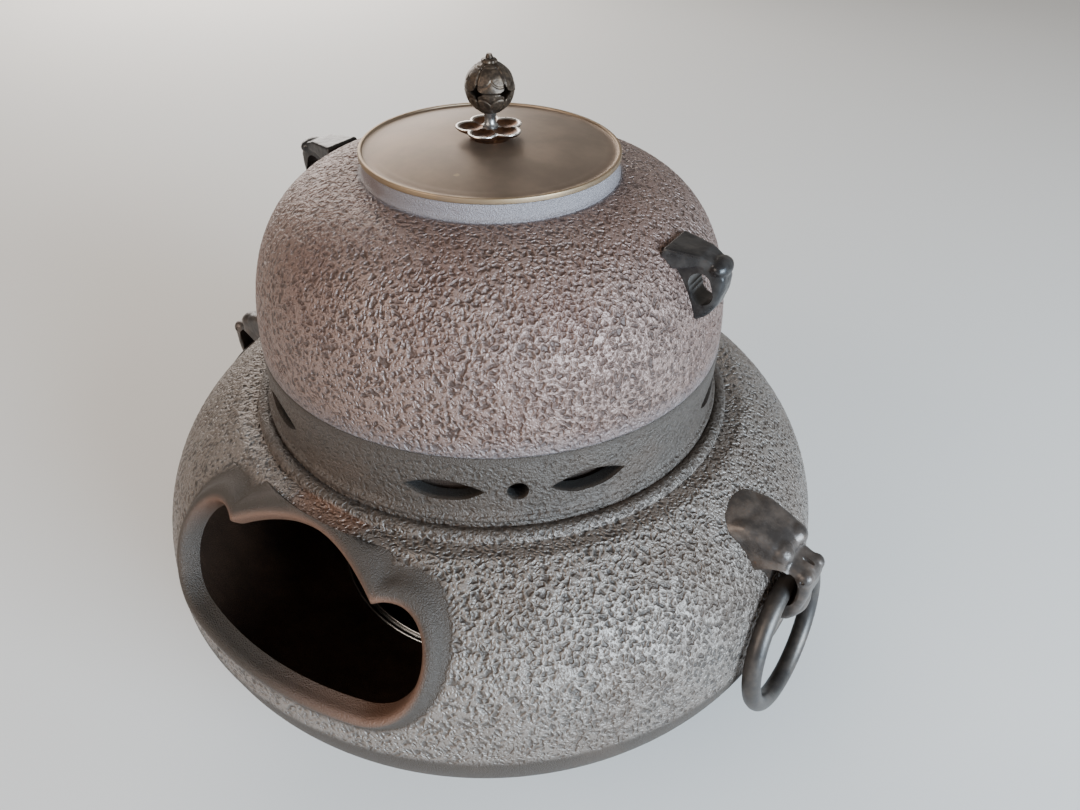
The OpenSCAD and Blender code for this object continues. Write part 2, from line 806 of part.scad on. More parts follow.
module knob_seat() color(knob_bronze)
    difference() {
        translate([0, 0, lid_top_h])
            difference() {
                union() {
                    cylinder(h = seat_foot_h, r1 = seat_base_r, r2 = seat_base_r + 1);
                    translate([0, 0, seat_foot_h])
                        linear_extrude(seat_h - seat_foot_h) {
                            flower(petal_r);
                            circle(petal_pitch_r);
                        }
                }
                translate([0, 0, seat_foot_h + 1])
                    linear_extrude(seat_h)
                        flower(petal_r - 2);
            }
        pin_hole();
    }

module knob_stem() color(knob_bronze)
    difference() {
        translate([0, 0, seat_top_h])
            union() {
                cylinder(h = stem_h, d = stem_d);
                cylinder(h = 1, d = stem_d + 1.6);
            }
        ball_outside();
        pin_hole();
    }

module ball_outside() {
    translate([0, 0, ball_h]) sphere(ball_r);
}

// A four-pointed star hole with hollow sides, on the equator at each petal gap
star_tip = 0.95;
module star_holes() {
    for (i = [0 : petal_count - 1])
        rotate([0, 0, ball_turn - 90 + petal_a * i])
            translate([ball_r / 2, 0, ball_h])
                rotate([90, 0, 90])
                    linear_extrude(ball_r)
                        difference() {
                            square(2 * star_a, center = true);
                            for (x = [-1, 1], y = [-1, 1])
                                translate([x * star_a, y * star_a])
                                    circle(star_a * star_tip, $fn = 48);
                        }
}

// One half of the hollow ball: up is 1 for the upper shell, -1 for the lower
module half_ball(up) {
    difference() {
        ball_outside();
        translate([0, 0, ball_h]) sphere(ball_r - ball_wall);
        translate([-2 * ball_r, -2 * ball_r, up > 0 ? ball_h - 4 * ball_r : ball_h])
            cube(4 * ball_r);
        star_holes();
        pin_hole();
    }
}

module knob_lower_shell() color(knob_bronze)
    half_ball(-1);

module knob_upper_shell() color(knob_bronze)
    half_ball(1);

top_washer_h = ball_h + sqrt(ball_r * ball_r - top_washer_d * top_washer_d / 16);
module knob_top_washer() color(knob_bronze)
    difference() {
        translate([0, 0, top_washer_h - 1])
            cylinder(h = top_washer_t + 1, d = top_washer_d);
        ball_outside();
        pin_hole();
    }

// The pin passes through everything and is peened over both washers
pin_top_h = top_washer_h + top_washer_t;
pin_low_h = lid_under_h - under_washer_t;
pin_head_t = 1.5;
module knob_pin() color(knob_bronze)
    union() {
        translate([0, 0, pin_low_h - 0.2])
            cylinder(h = pin_top_h - pin_low_h + 0.4, d = pin_d);
        translate([0, 0, pin_top_h])
            cylinder(h = pin_head_t, d1 = pin_d + 1, d2 = pin_d - 0.4);
        translate([0, 0, pin_low_h - pin_head_t])
            cylinder(h = pin_head_t, d1 = pin_d, d2 = pin_d + 1.6);
    }

module knob_under_washer() color(knob_bronze)
    translate([0, 0, pin_low_h])
        difference() {
            cylinder(h = under_washer_t, d = under_washer_d);
            translate([0, 0, -overrun])
                cylinder(h = under_washer_t + 2 * overrun, d = pin_d + 2 * pin_gap);
        }

// ---------------------------------------------------------------- output

brazier_body();
foot(foot_angles[2]);  // foot_front_left
foot(foot_angles[0]);  // foot_front_right
foot(foot_angles[1]);  // foot_rear
brazier_lug_left();
brazier_lug_right();
lug_screws();
lug_washers();
ring_left();
ring_right();
fire_pan();
kettle_body();
kettle_lug_left();
kettle_lug_right();
lid_plate();
lid_locating_ring();
knob_seat();
knob_stem();
knob_lower_shell();
knob_upper_shell();
knob_top_washer();
knob_pin();
knob_under_washer();
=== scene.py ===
import math

import bpy
from mathutils import Matrix, Vector


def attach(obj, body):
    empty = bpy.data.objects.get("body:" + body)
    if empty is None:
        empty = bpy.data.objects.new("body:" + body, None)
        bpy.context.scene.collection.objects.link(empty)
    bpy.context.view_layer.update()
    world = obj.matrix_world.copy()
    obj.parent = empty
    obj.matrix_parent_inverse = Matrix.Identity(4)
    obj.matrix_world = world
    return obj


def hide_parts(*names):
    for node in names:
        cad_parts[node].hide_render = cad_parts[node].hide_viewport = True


bl_info = {
    "name": "Kettle and brazier",
    "version": (1, 0, 0),
    "blender": (4, 5, 0),
    "location": "View3D > Sidebar > Kettle",
    "description": "Builds a cast iron kettle in its brazier, with a bronze lid, around its fixed frame",
    "category": "Add Mesh",
}

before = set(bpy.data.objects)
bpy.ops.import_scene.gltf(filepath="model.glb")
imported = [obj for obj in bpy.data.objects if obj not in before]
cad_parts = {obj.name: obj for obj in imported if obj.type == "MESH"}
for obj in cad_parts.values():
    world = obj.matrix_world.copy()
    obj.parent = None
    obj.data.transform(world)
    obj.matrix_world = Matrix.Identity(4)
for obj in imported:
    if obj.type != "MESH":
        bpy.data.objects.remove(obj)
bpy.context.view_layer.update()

MM = 0.001
FULL_TURN = 2 * math.pi

# Fixed shape of the castings, in millimetres, that the frame's solids share
BELLY_R, BELLY_H, SHOULDER_RISE, SHOULDER_CORE, SHOULDER_POWER = 182.0, 97.5, 93.5, 72.0, 2.22
PARTING_STEP, HEARTH_DROP, HEARTH_FLAT_R, SHELL_WALL = 1.5, 72.0, 60.0, 6.0
SHOULDER_TOP = math.radians(58)
RIDGE_H = BELLY_H + SHOULDER_RISE * math.sin(SHOULDER_TOP) ** (2 / SHOULDER_POWER)
NECK_R, NECK_WALL, SEAM_H = 116.0, 7.0, RIDGE_H + 40
HEARTH_H = BELLY_H - HEARTH_DROP
INNER_TOP = RIDGE_H - SHELL_WALL + 1
SILL_H, LOBE_X, LOBE_R, CROWN_H, ARCH_R = 123.0, 50.0, 21.7, 176.8, 81.3
KETTLE_TOP = SEAM_H + 77.6
KETTLE_BELLY_H, KETTLE_CORE, KETTLE_POWER = SEAM_H - 5, 51.3, 2.61
RIM_H = KETTLE_TOP + 7.8
MOUTH_R, COLLAR_R, KETTLE_WALL, SPIGOT_R = 51.0, 58.6, 4.5, 107.8
BOWL_DROP, BOWL_POWER = 95.0, 2.4
LUG_TURN = math.radians(-4)
EYE_H, EYE_D, EYE_RISE = 136.5, 14.0, 9.0
RING_R, RING_BAR_R, RING_LEAN, RING_GAP, GAP_START = 36.0, 4.6, math.radians(8), 46.0, 24.0
LID_R, LID_TOP = 59.6, RIM_H + 6.0
SEAT_TOP = LID_TOP + 5.0
BALL_H, BALL_R = SEAT_TOP + 5.9 + 11.0, 11.0


# ------------------------------------------------------------ shape functions

def quadrant(x, y, a, b, power, first, last, steps):
    """Points of a superellipse quadrant of half axes a and b about (x, y)."""
    points = []
    for i in range(steps + 1):
        t = first + (last - first) * i / steps
        points.append((x + a * abs(math.cos(t)) ** (2 / power), y + b * abs(math.sin(t)) ** (2 / power)))
    return points


def arc(x, y, r, first, last, steps):
    """Points of a round of radius r about (x, y), angles in degrees."""
    return [(x + r * math.cos(math.radians(first + (last - first) * i / steps)),
             y + r * math.sin(math.radians(first + (last - first) * i / steps))) for i in range(steps + 1)]


def shell_r(h):
    """Outer radius of the brazier's shoulder at height h."""
    rise = min(1.0, abs(h - BELLY_H) / SHOULDER_RISE)
    return SHOULDER_CORE + (BELLY_R - SHOULDER_CORE) * (1 - rise ** SHOULDER_POWER) ** (1 / SHOULDER_POWER)


def kettle_r(h):
    """Outer radius of the kettle's shoulder at height h."""
    rise = min(1.0, abs(h - KETTLE_BELLY_H) / (KETTLE_TOP - KETTLE_BELLY_H))
    return KETTLE_CORE + (NECK_R - KETTLE_CORE) * (1 - rise ** KETTLE_POWER) ** (1 / KETTLE_POWER)


def smooth(x, low, high):
    """0 below low, 1 above high, a smooth step between."""
    t = min(1.0, max(0.0, (x - low) / (high - low)))
    return t * t * (3 - 2 * t)


EYE_X = shell_r(EYE_H) + 0.9 + 0.35 + RING_BAR_R
SNOUT_X = EYE_X + EYE_D / 2 + 5.9
LUG_EYE_H = KETTLE_TOP - 25.2
LUG_EYE_X = kettle_r(LUG_EYE_H) + 6.6


def resample(points, step):
    """The same line with points about step apart."""
    out = [points[0]]
    for a, b in zip(points, points[1:]):
        n = max(1, round(math.dist(a, b) / step))
        out += [(a[0] + (b[0] - a[0]) * i / n, a[1] + (b[1] - a[1]) * i / n) for i in range(1, n + 1)]
    return out


# ------------------------------------------------------------ settings shown in the panel

def length(name, description, size):
    """A length in metres, given here in millimetres."""
    return bpy.props.FloatProperty(name=name, description=description, default=size * MM, min=0.0, max=10 * MM,
                                   precision=5, unit="LENGTH")


def colour(name, description, default):
    return bpy.props.FloatVectorProperty(name=name, description=description, default=default,
                                         min=0.0, max=1.0, subtype="COLOR")


# ------------------------------------------------------------ modelling steps

def deselect():
    if bpy.context.object and bpy.context.object.mode != "OBJECT":
        bpy.ops.object.mode_set(mode="OBJECT")
    bpy.ops.object.select_all(action="DESELECT")


def only(piece):
    """Makes one piece the selected and active one."""
    deselect()
    piece.select_set(True)
    bpy.context.view_layer.objects.active = piece
    return piece


def edit(piece):
    only(piece)
    bpy.ops.object.mode_set(mode="EDIT")
    bpy.ops.mesh.select_all(action="SELECT")


def done():
    bpy.ops.object.mode_set(mode="OBJECT")


def clean(piece):
    """Merges doubled points and turns every face outwards."""
    edit(piece)
    bpy.ops.mesh.remove_doubles(threshold=0.00002)
    bpy.ops.mesh.normals_make_consistent(inside=False)
    done()
    return piece


def lathe(name, profile, steps, turn=FULL_TURN):
    """Turns a line of (radius, height) points, in millimetres, about the vertical axis."""
    deselect()
    bpy.ops.mesh.primitive_plane_add(size=MM)
    piece = bpy.context.object
    piece.name = name
    bpy.ops.object.mode_set(mode="EDIT")
    bpy.ops.mesh.select_mode(type="VERT")
    bpy.ops.mesh.merge(type="CENTER")
    r, h = profile[0]
    bpy.ops.transform.translate(value=(r * MM, 0, h * MM))
    for a, b in zip(profile, profile[1:]):
        bpy.ops.mesh.extrude_region_move(
            TRANSFORM_OT_translate={"value": ((b[0] - a[0]) * MM, 0, (b[1] - a[1]) * MM)})
    bpy.ops.mesh.select_all(action="SELECT")
    bpy.ops.mesh.spin(steps=steps, angle=turn, center=(0, 0, 0), axis=(0, 0, 1))
    done()
    return clean(piece)


def prism(name, outline, low, high, place=lambda u, v, w: (u, w, v)):
    """A closed outline in millimetres pushed from low to high; place says where (u, v, w) lies."""
    deselect()
    bpy.ops.mesh.primitive_circle_add(vertices=len(outline), radius=MM, fill_type="NGON")
    piece = bpy.context.object
    piece.name = name
    bpy.ops.object.mode_set(mode="EDIT")
    bpy.ops.mesh.extrude_region_move(TRANSFORM_OT_translate={"value": (0, 0, MM)})
    done()
    count = len(outline)
    for i, vertex in enumerate(piece.data.vertices):
        u, v = outline[i % count]
        vertex.co = Vector(place(u, v, low if i < count else high)) * MM
    return clean(piece)


def net(name, rows):
    """A closed tube through rows of points, in millimetres: both ways round it closes on itself."""
    deselect()
    columns = len(rows[0])
    bpy.ops.mesh.primitive_grid_add(x_subdivisions=columns, y_subdivisions=len(rows), size=MM)
    piece = bpy.context.object
    piece.name = name
    edit(piece)
    done()
    closed = [row + row[:1] for row in rows]
    closed.append(closed[0])
    for i, vertex in enumerate(piece.data.vertices):
        vertex.co = Vector(closed[i // (columns + 1)][i % (columns + 1)]) * MM
    return clean(piece)


def copy_of(piece, name):
    only(piece)
    bpy.ops.object.duplicate()
    bpy.context.object.name = name
    return bpy.context.object


def modify(piece, kind, **settings):
    """Adds a modifier with these settings and applies it."""
    only(piece)
    modifier = piece.modifiers.new(kind.title(), kind)
    for key, value in settings.items():
        setattr(modifier, key, value)
    bpy.ops.object.modifier_apply(modifier=modifier.name)
    return piece


def cut(piece, tool, operation="DIFFERENCE", solver="MANIFOLD"):
    """Cuts the tool from the piece, or joins it on, and removes the tool."""
    modify(piece, "BOOLEAN", object=tool, operation=operation, solver=solver)
    bpy.data.objects.remove(tool)
    return piece


def joined(name, parts):
    deselect()
    for part in parts:
        part.select_set(True)
    bpy.context.view_layer.objects.active = parts[0]
    bpy.ops.object.join()
    bpy.context.object.name = name
    return bpy.context.object


def settle(piece):
    """Puts a piece's place into its mesh."""
    only(piece)
    bpy.ops.object.transform_apply(location=True, rotation=True, scale=True)
    return piece


def turned(piece, angle):
    piece.rotation_euler = (0, 0, angle)
    return settle(piece)


def mirrored(piece, name):
    """The left-hand copy of a right-hand piece."""
    other = copy_of(piece, name)
    other.scale = (-1, 1, 1)
    return clean(settle(other))


def softened(piece, angle=35):
    only(piece)
    bpy.ops.object.shade_smooth_by_angle(angle=math.radians(angle))
    return piece


def lump(kind, centre, size, turn=(0, 0, 0)):
    """A sphere or box of full size (x, y, z) at a place, in millimetres, turned by degrees."""
    deselect()
    if kind == "ball":
        bpy.ops.mesh.primitive_uv_sphere_add(segments=32, ring_count=16, radius=0.5)
    else:
        bpy.ops.mesh.primitive_cube_add(size=1)
    part = bpy.context.object
    part.scale = [s * MM for s in size]
    part.rotation_euler = [math.radians(t) for t in turn]
    part.location = Vector(centre) * MM
    return settle(part)


def rod(start, end, r):
    """A round bar between two points, in millimetres."""
    a, b = Vector(start) * MM, Vector(end) * MM
    deselect()
    bpy.ops.mesh.primitive_cylinder_add(vertices=48, radius=r * MM, depth=(b - a).length)
    part = bpy.context.object
    part.rotation_euler = (b - a).to_track_quat("Z", "Y").to_euler()
    part.location = (a + b) / 2
    return settle(part)


def mark(piece, name, rule):
    """Stores rule(point in millimetres) on the piece as an attribute and as a vertex group."""
    attribute = piece.data.attributes.get(name) or piece.data.attributes.new(name, "FLOAT", "POINT")
    group = piece.vertex_groups.get(name) or piece.vertex_groups.new(name=name)
    levels = {}
    for i, vertex in enumerate(piece.data.vertices):
        value = rule(vertex.co / MM)
        attribute.data[i].value = value
        levels.setdefault(round(value, 2), []).append(i)
    for value, members in levels.items():
        group.add(members, value, "REPLACE")


def wrinkled(piece, scale, height, group):
    """Raises the cast skin's crinkles, sized in metres, where the group says, along the normals."""
    texture = bpy.data.textures.new(piece.name + "_crinkle", "CLOUDS")
    texture.noise_scale = scale
    texture.noise_depth = 3
    texture.use_color_ramp = True
    stops = texture.color_ramp.elements
    stops[0].color, stops[1].color = (0, 0, 0, 1), (0, 0, 0, 1)
    stops[0].position, stops[1].position = 0.3, 0.7
    stops.new(0.5).color = (1, 1, 1, 1)
    return modify(piece, "DISPLACE", texture=texture, texture_coords="LOCAL", direction="NORMAL",
                  strength=height, mid_level=1.0, vertex_group=group)


def roughened(piece, scale, height):
    """The slight unevenness of a forged or hand-finished surface."""
    texture = bpy.data.textures.new(piece.name + "_hand", "CLOUDS")
    texture.noise_scale = scale * MM
    return modify(piece, "DISPLACE", texture=texture, texture_coords="LOCAL",
                  strength=height * MM, mid_level=0.5)


def place_on(piece, body, slot, *nodes):
    """Rides the piece on its body, hides the solids it stands for and gives them its material; slot is not used."""
    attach(piece, body)
    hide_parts(*nodes)
    for node in nodes:
        dress(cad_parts[node], piece.data.materials[0])


# ------------------------------------------------------------ materials

class Value:
    """A socket in a material; sums on it add the nodes that work them out."""

    def __init__(self, tree, socket):
        self.tree, self.socket = tree, socket

    def node(self, kind, settings=None, inputs=None, output=0):
        made = self.tree.nodes.new(kind)
        for key, value in (settings or {}).items():
            if key == "stops":
                ramp = made.color_ramp
                while len(ramp.elements) < len(value):
                    ramp.elements.new(0.5)
                for element, (position, colour) in zip(ramp.elements, value):
                    element.position, element.color = position, (*colour, 1)
            else:
                setattr(made, key, value)
        for key, value in (inputs or {}).items():
            if isinstance(value, Value):
                self.tree.links.new(value.socket, made.inputs[key])
            else:
                made.inputs[key].default_value = value
        return Value(self.tree, made.outputs[output])

    def sum(self, operation, *others):
        return self.node("ShaderNodeMath", {"operation": operation}, dict(enumerate((self, *others))))

    def __add__(self, other):
        return self.sum("ADD", other)

    __radd__ = __add__

    def __mul__(self, other):
        return self.sum("MULTIPLY", other)

    __rmul__ = __mul__

    def __sub__(self, other):
        return self.sum("SUBTRACT", other)

    def __rsub__(self, other):
        return (self * -1.0).sum("ADD", other)

    def __abs__(self):
        return self.sum("ABSOLUTE")

    def parts(self):
        """The vector's x, y and z."""
        split = self.node("ShaderNodeSeparateXYZ", {}, {0: self}).socket.node
        return [Value(self.tree, socket) for socket in split.outputs]

    def hypot(self, other):
        return (self * self + other * other).sum("SQRT")

    def step(self, low, high):
        return self.node("ShaderNodeMapRange", {"interpolation_type": "SMOOTHSTEP"},
                         {"Value": self, "From Min": low, "From Max": high})

    def noise(self, scale, detail=2.0, roughness=0.5, distortion=0.0):
        """Noise at this point of the surface; scale is in features per metre."""
        return self.node("ShaderNodeTexNoise", {}, {"Vector": self, "Scale": scale, "Detail": detail,
                                                    "Roughness": roughness, "Distortion": distortion})

    def blend(self, first, second, kind="MIX"):
        """first where this value is 0, second where it is 1."""
        return self.node("ShaderNodeMix", {"data_type": "RGBA", "blend_type": kind},
                         {0: self, 6: first, 7: second}, 2)


def rgb(colour):
    return (*colour, 1.0) if len(colour) == 3 else tuple(colour)


def new_material(name):
    """A material, its shader and the surface's own coordinates."""
    material = bpy.data.materials.new(name)
    material.use_nodes = True
    tree = material.node_tree
    shader = tree.nodes["Principled BSDF"]
    here = Value(tree, None).node("ShaderNodeTexCoord", output=3)
    return material, shader, here


def plug(shader, name, value):
    if isinstance(value, Value):
        value.tree.links.new(value.socket, shader.inputs[name])
    else:
        shader.inputs[name].default_value = value


def attribute(here, name):
    return here.node("ShaderNodeAttribute", {"attribute_name": name}, output=2)


def cast_skin(name, dark, light, tint, soot_colour, bare_colour, crinkle, neck_painted_shade=0.0):
    """Cast iron with a crinkled skin: worm-like ridges, mottled in colour; the ridges are painted lighter and the
    valleys darker, partly the iron's own tone and partly painted highlight and shade.
    With the last argument at 1, the inside of the brazier's neck is painted near black, a painted shade as dark as its
    openings."""
    material, shader, here = new_material(name)
    swirl = here.node("ShaderNodeTexNoise", {}, {"Vector": here, "Scale": crinkle * 0.9, "Detail": 1.0}, 1)
    bent = here.node("ShaderNodeVectorMath", {"operation": "MULTIPLY_ADD"},
                     {0: swirl, 1: (0.0016, 0.0016, 0.0016), 2: here})
    worm = bent.noise(crinkle, 1.5, 0.45)
    ridge = (1 - abs(worm - 0.5) * 4.6).step(-0.1, 1.0)
    grain = here.noise(crinkle * 5.0, 2.0)
    mottle = here.noise(22.0, 4.0, 0.6)
    patch = here.noise(7.0, 2.0)
    skin, soot = attribute(here, "skin"), attribute(here, "soot")
    # Partly painted light: ridges take the light colour and valleys the dark one, part own tone of the iron, part
    # painted highlight on ridges and painted shade in valleys.
    base = (ridge * skin * 0.75 + grain * 0.15).blend(rgb(dark), rgb(light))
    base = (mottle.step(0.42, 0.7) * 0.5).blend(base, rgb(tint))
    base = (patch.step(0.45, 0.75) * 0.35).blend(base, rgb(light))
    x, y, z = here.parts()
    # Painted shade: inside the neck, between the ridge and the seam, the iron is painted near black so that the slots
    # look dark.
    within = 1 - x.hypot(y).step((NECK_R - 3.0) * MM, (NECK_R - 0.8) * MM)
    level = z.step((RIDGE_H + 5) * MM, (RIDGE_H + 7) * MM) * (1 - z.step((SEAM_H - 2) * MM, (SEAM_H - 1) * MM))
    painted_neck_shade = within * level * neck_painted_shade
    bare = grain.blend(rgb([c * 0.62 for c in bare_colour]), rgb(bare_colour))
    bare = (mottle.step(0.5, 0.72) * 0.4).blend(bare, rgb(tint))
    base = (1 - skin).blend(base, bare)
    rust = (mottle * 0.6 + grain * 0.4).step(0.35, 0.72)
    base = (attribute(here, "rust") * 0.75).blend(base, rgb((0.20, 0.098, 0.058)))
    base = soot.blend(base, rust.blend(rgb([c * 0.3 for c in soot_colour]), rgb(soot_colour)))
    # Painted shade: the near-black colour inside the neck.
    base = painted_neck_shade.blend(base, rgb((0.012, 0.009, 0.007)))
    plug(shader, "Base Color", base)
    plug(shader, "Roughness", 0.42 - ridge * skin * 0.1 + grain * 0.16 + soot * 0.3 + (1 - skin) * 0.06)
    plug(shader, "Metallic", 0.38)
    plug(shader, "Specular IOR Level", 0.7)
    height = ridge * skin * 0.8 + grain * (0.5 - skin * 0.38)
    bump = here.node("ShaderNodeBump", {}, {"Strength": 1.0, "Distance": 0.0016, "Height": height})
    plug(shader, "Normal", bump)
    return material


def worn_metal(name, dark, light, edge, metallic, roughness, scale=60.0, bump=0.15, fine=900.0, stretch=None):
    """Patinated metal: two tones in soft patches, fine grain, lighter wear on raised grain."""
    material, shader, here = new_material(name)
    at = here
    if stretch:
        at = here.node("ShaderNodeMapping", {}, {"Vector": here, "Scale": stretch})
    patch = at.noise(scale, 4.0, 0.6)
    grain = at.noise(fine, 2.0)
    base = patch.step(0.35, 0.68).blend(rgb(dark), rgb(light))
    base = (grain.step(0.55, 0.8) * patch.step(0.5, 0.7) * 0.6).blend(base, rgb(edge))
    plug(shader, "Base Color", base)
    plug(shader, "Roughness", patch * 0.16 + grain * 0.08 + (roughness - 0.12))
    plug(shader, "Metallic", metallic)
    plug(shader, "Normal", here.node("ShaderNodeBump", {}, {"Strength": bump, "Distance": 0.0002,
                                                            "Height": grain + patch * 0.5}))
    return material


def dress(piece, material):
    piece.data.materials.clear()
    piece.data.materials.append(material)


# ------------------------------------------------------------ brazier

def window_outline(grow, arc_steps=36, flat_steps=20):
    """The fire window's outline as (x, z), grown outwards, always with the same number of points."""
    lobe, arch = LOBE_R + grow, ARCH_R + grow
    lobe_z, arch_z = SILL_H + LOBE_R, CROWN_H - ARCH_R
    apart = math.hypot(LOBE_X, lobe_z - arch_z)
    along = (arch * arch - lobe * lobe + apart * apart) / (2 * apart)
    aside = math.sqrt(arch * arch - along * along)
    ux, uz = LOBE_X / apart, (lobe_z - arch_z) / apart
    cusp = (along * ux - aside * uz, arch_z + along * uz + aside * ux)
    end = math.degrees(math.atan2(cusp[1] - lobe_z, cusp[0] - LOBE_X))
    top = math.degrees(math.atan2(cusp[1] - arch_z, cusp[0]))
    bottom = SILL_H - grow
    points = [(-LOBE_X + 2 * LOBE_X * i / flat_steps, bottom) for i in range(flat_steps)]
    points += arc(LOBE_X, lobe_z, lobe, -90, end, arc_steps)[:-1]
    points += arc(0, arch_z, arch, top, 180 - top, arc_steps)[:-1]
    points += [(-x, z) for x, z in reversed(arc(LOBE_X, lobe_z, lobe, -90, end, arc_steps)[1:])]
    return points


def on_shell(x, z, out):
    """The point of the shell in front of (x, z), moved out along the shell's normal."""
    z = min(z, RIDGE_H - 0.2)
    r = shell_r(z)
    slope = math.atan2(shell_r(z - 0.5) - shell_r(z + 0.5), 1.0)
    side = math.asin(max(-1, min(1, x / r)))
    r_out, z_out = r + out * math.cos(slope), z + out * math.sin(slope)
    return (r_out * math.sin(side), -r_out * math.cos(side), z_out)


LIP_SECTION = [
    (0.0, -6.2), (-0.25, -4.0), (-0.3, -1.5), (-0.3, 0.8), (0.0, 2.2), (0.7, 3.2), (1.7, 3.7), (2.9, 3.7),
    (4.0, 3.2), (5.0, 2.3), (5.9, 1.3), (6.9, 0.55), (8.0, 0.1), (9.2, -0.15), (9.2, -2.5), (5.0, -5.0),
]


def lens(length, height, turns=14):
    """A slightly uneven pointed slot outline, lying along u."""
    r = (length * length + height * height) / (4 * height)
    half = math.degrees(math.asin(length / 2 / r))
    upper = arc(0, height / 2 - r, r, 90 - half, 90 + half, turns)[:-1]
    points = upper + [(-u, -v) for u, v in upper]
    return [(u, v * (1 + 0.04 * math.sin(u * 0.3 + v * 0.4))) for u, v in points]


def neck_place(angle):
    """Says where a neck opening's (u, v, depth) lies for an angle from the front."""
    a = math.radians(angle)

    def place(u, v, w):
        return (w * math.sin(a) + u * math.cos(a), -w * math.cos(a) + u * math.sin(a), RIDGE_H + 21.5 + v)
    return place


def brazier_profile():
    """Outer and inner line of the upper casting, from its parting face round to it again."""
    inner_r = BELLY_R - SHELL_WALL
    inner_end = math.asin(((INNER_TOP - BELLY_H) / (SHOULDER_RISE - SHELL_WALL)) ** (SHOULDER_POWER / 2))
    ridge = arc(NECK_R + 5, RIDGE_H, 4, -8, 140, 12)
    bead = arc(NECK_R + 0.6, RIDGE_H + 6.6, 1.9, -60, 80, 8)
    outer = resample(quadrant(SHOULDER_CORE, BELLY_H, BELLY_R - SHOULDER_CORE, SHOULDER_RISE,
                              SHOULDER_POWER, 0, SHOULDER_TOP, 76) + ridge[:1], 2)
    neck = [(NECK_R + 0.6, RIDGE_H + 9.2), (NECK_R + 0.2, RIDGE_H + 12), (NECK_R, RIDGE_H + 20),
            (NECK_R, RIDGE_H + 30), (NECK_R, SEAM_H - 1.2), (NECK_R - 0.3, SEAM_H - 0.5), (NECK_R - 1, SEAM_H)]
    bore = NECK_R - NECK_WALL
    rim = [(bore + 0.9, SEAM_H), (bore, SEAM_H - 0.9), (bore, SEAM_H - 16), (bore, RIDGE_H + 0.9),
           (NECK_R, INNER_TOP)]
    inner = quadrant(SHOULDER_CORE, BELLY_H, inner_r - SHOULDER_CORE, SHOULDER_RISE - SHELL_WALL,
                     SHOULDER_POWER, inner_end, 0, 14)
    foot = [(inner_r, BELLY_H), (BELLY_R - 0.5, BELLY_H), (BELLY_R, BELLY_H + 0.5)]
    return foot + outer[1:] + ridge[1:] + bead + resample(neck, 1.8) + resample(rim, 8) + inner


def window_gap(p):
    """How far a point of the front lies outside the window's outline."""
    x, z = abs(p.x), p.z
    if p.y > 0 or x > 100:
        return 99.0
    lobe = math.hypot(max(0, x - LOBE_X), z - SILL_H - LOBE_R) - LOBE_R if x > 42 else 99
    arch = math.hypot(x, z - CROWN_H + ARCH_R) - ARCH_R if x < 48 else 99
    return SILL_H - z if z < SILL_H and x < LOBE_X else min(lobe, arch)


def rust_here(p):
    """Brown on the window's edge, strongest above and to the right."""
    return (1 - smooth(window_gap(p), 1.6, 4.4)) * smooth(p.z + 0.35 * p.x, 118, 150)


def skin_here(p):
    """How crinkled the brazier's skin is at a point, from 0 to 1."""
    r = math.hypot(p.x, p.y)
    if p.z > RIDGE_H - 1.5 and r > NECK_R - 1:
        return 1 - 0.6 * smooth(p.z, RIDGE_H, RIDGE_H + 5) - 0.4 * smooth(p.z, SEAM_H - 4, SEAM_H - 1)
    if r < shell_r(min(p.z, RIDGE_H)) - 2:
        return 0.0
    return smooth(p.z, BELLY_H + 0.8, BELLY_H + 5) * smooth(window_gap(p), 6.5, 12)


def soot_here(p):
    """How sooty the casting is: 1 on the inside of shell and bowl."""
    r = math.hypot(p.x, p.y)
    if p.z > RIDGE_H - 1:
        return 0.0 if r > NECK_R - 3 else 1.0
    return 1.0 if p.z > BELLY_H and r < shell_r(p.z) - 3 else 0.0


def flat_front(u, v, w):
    return (u, -w, v)


class BrazierSizes(bpy.types.PropertyGroup):
    crinkle: length("Crinkle", "Spacing of the skin's crinkles", 2.6)
    crinkle_height: length("Crinkle height", "Height of the crinkles", 0.42)
    around: bpy.props.IntProperty(name="Steps round", description="Steps round the shell",
                                  default=680, min=96, max=700, subtype="UNSIGNED")
    # Valleys and ridges: besides the iron's own tone, these colours carry painted shade in the valleys and painted
    # highlight on the ridges.
    dark: colour("Valleys", "Colour in the skin's valleys", (0.026, 0.019, 0.015))
    light: colour("Ridges", "Colour on the skin's ridges", (0.25, 0.208, 0.178))
    bare: colour("Bare casting", "Colour of neck, lip and lower half", (0.062, 0.045, 0.033))


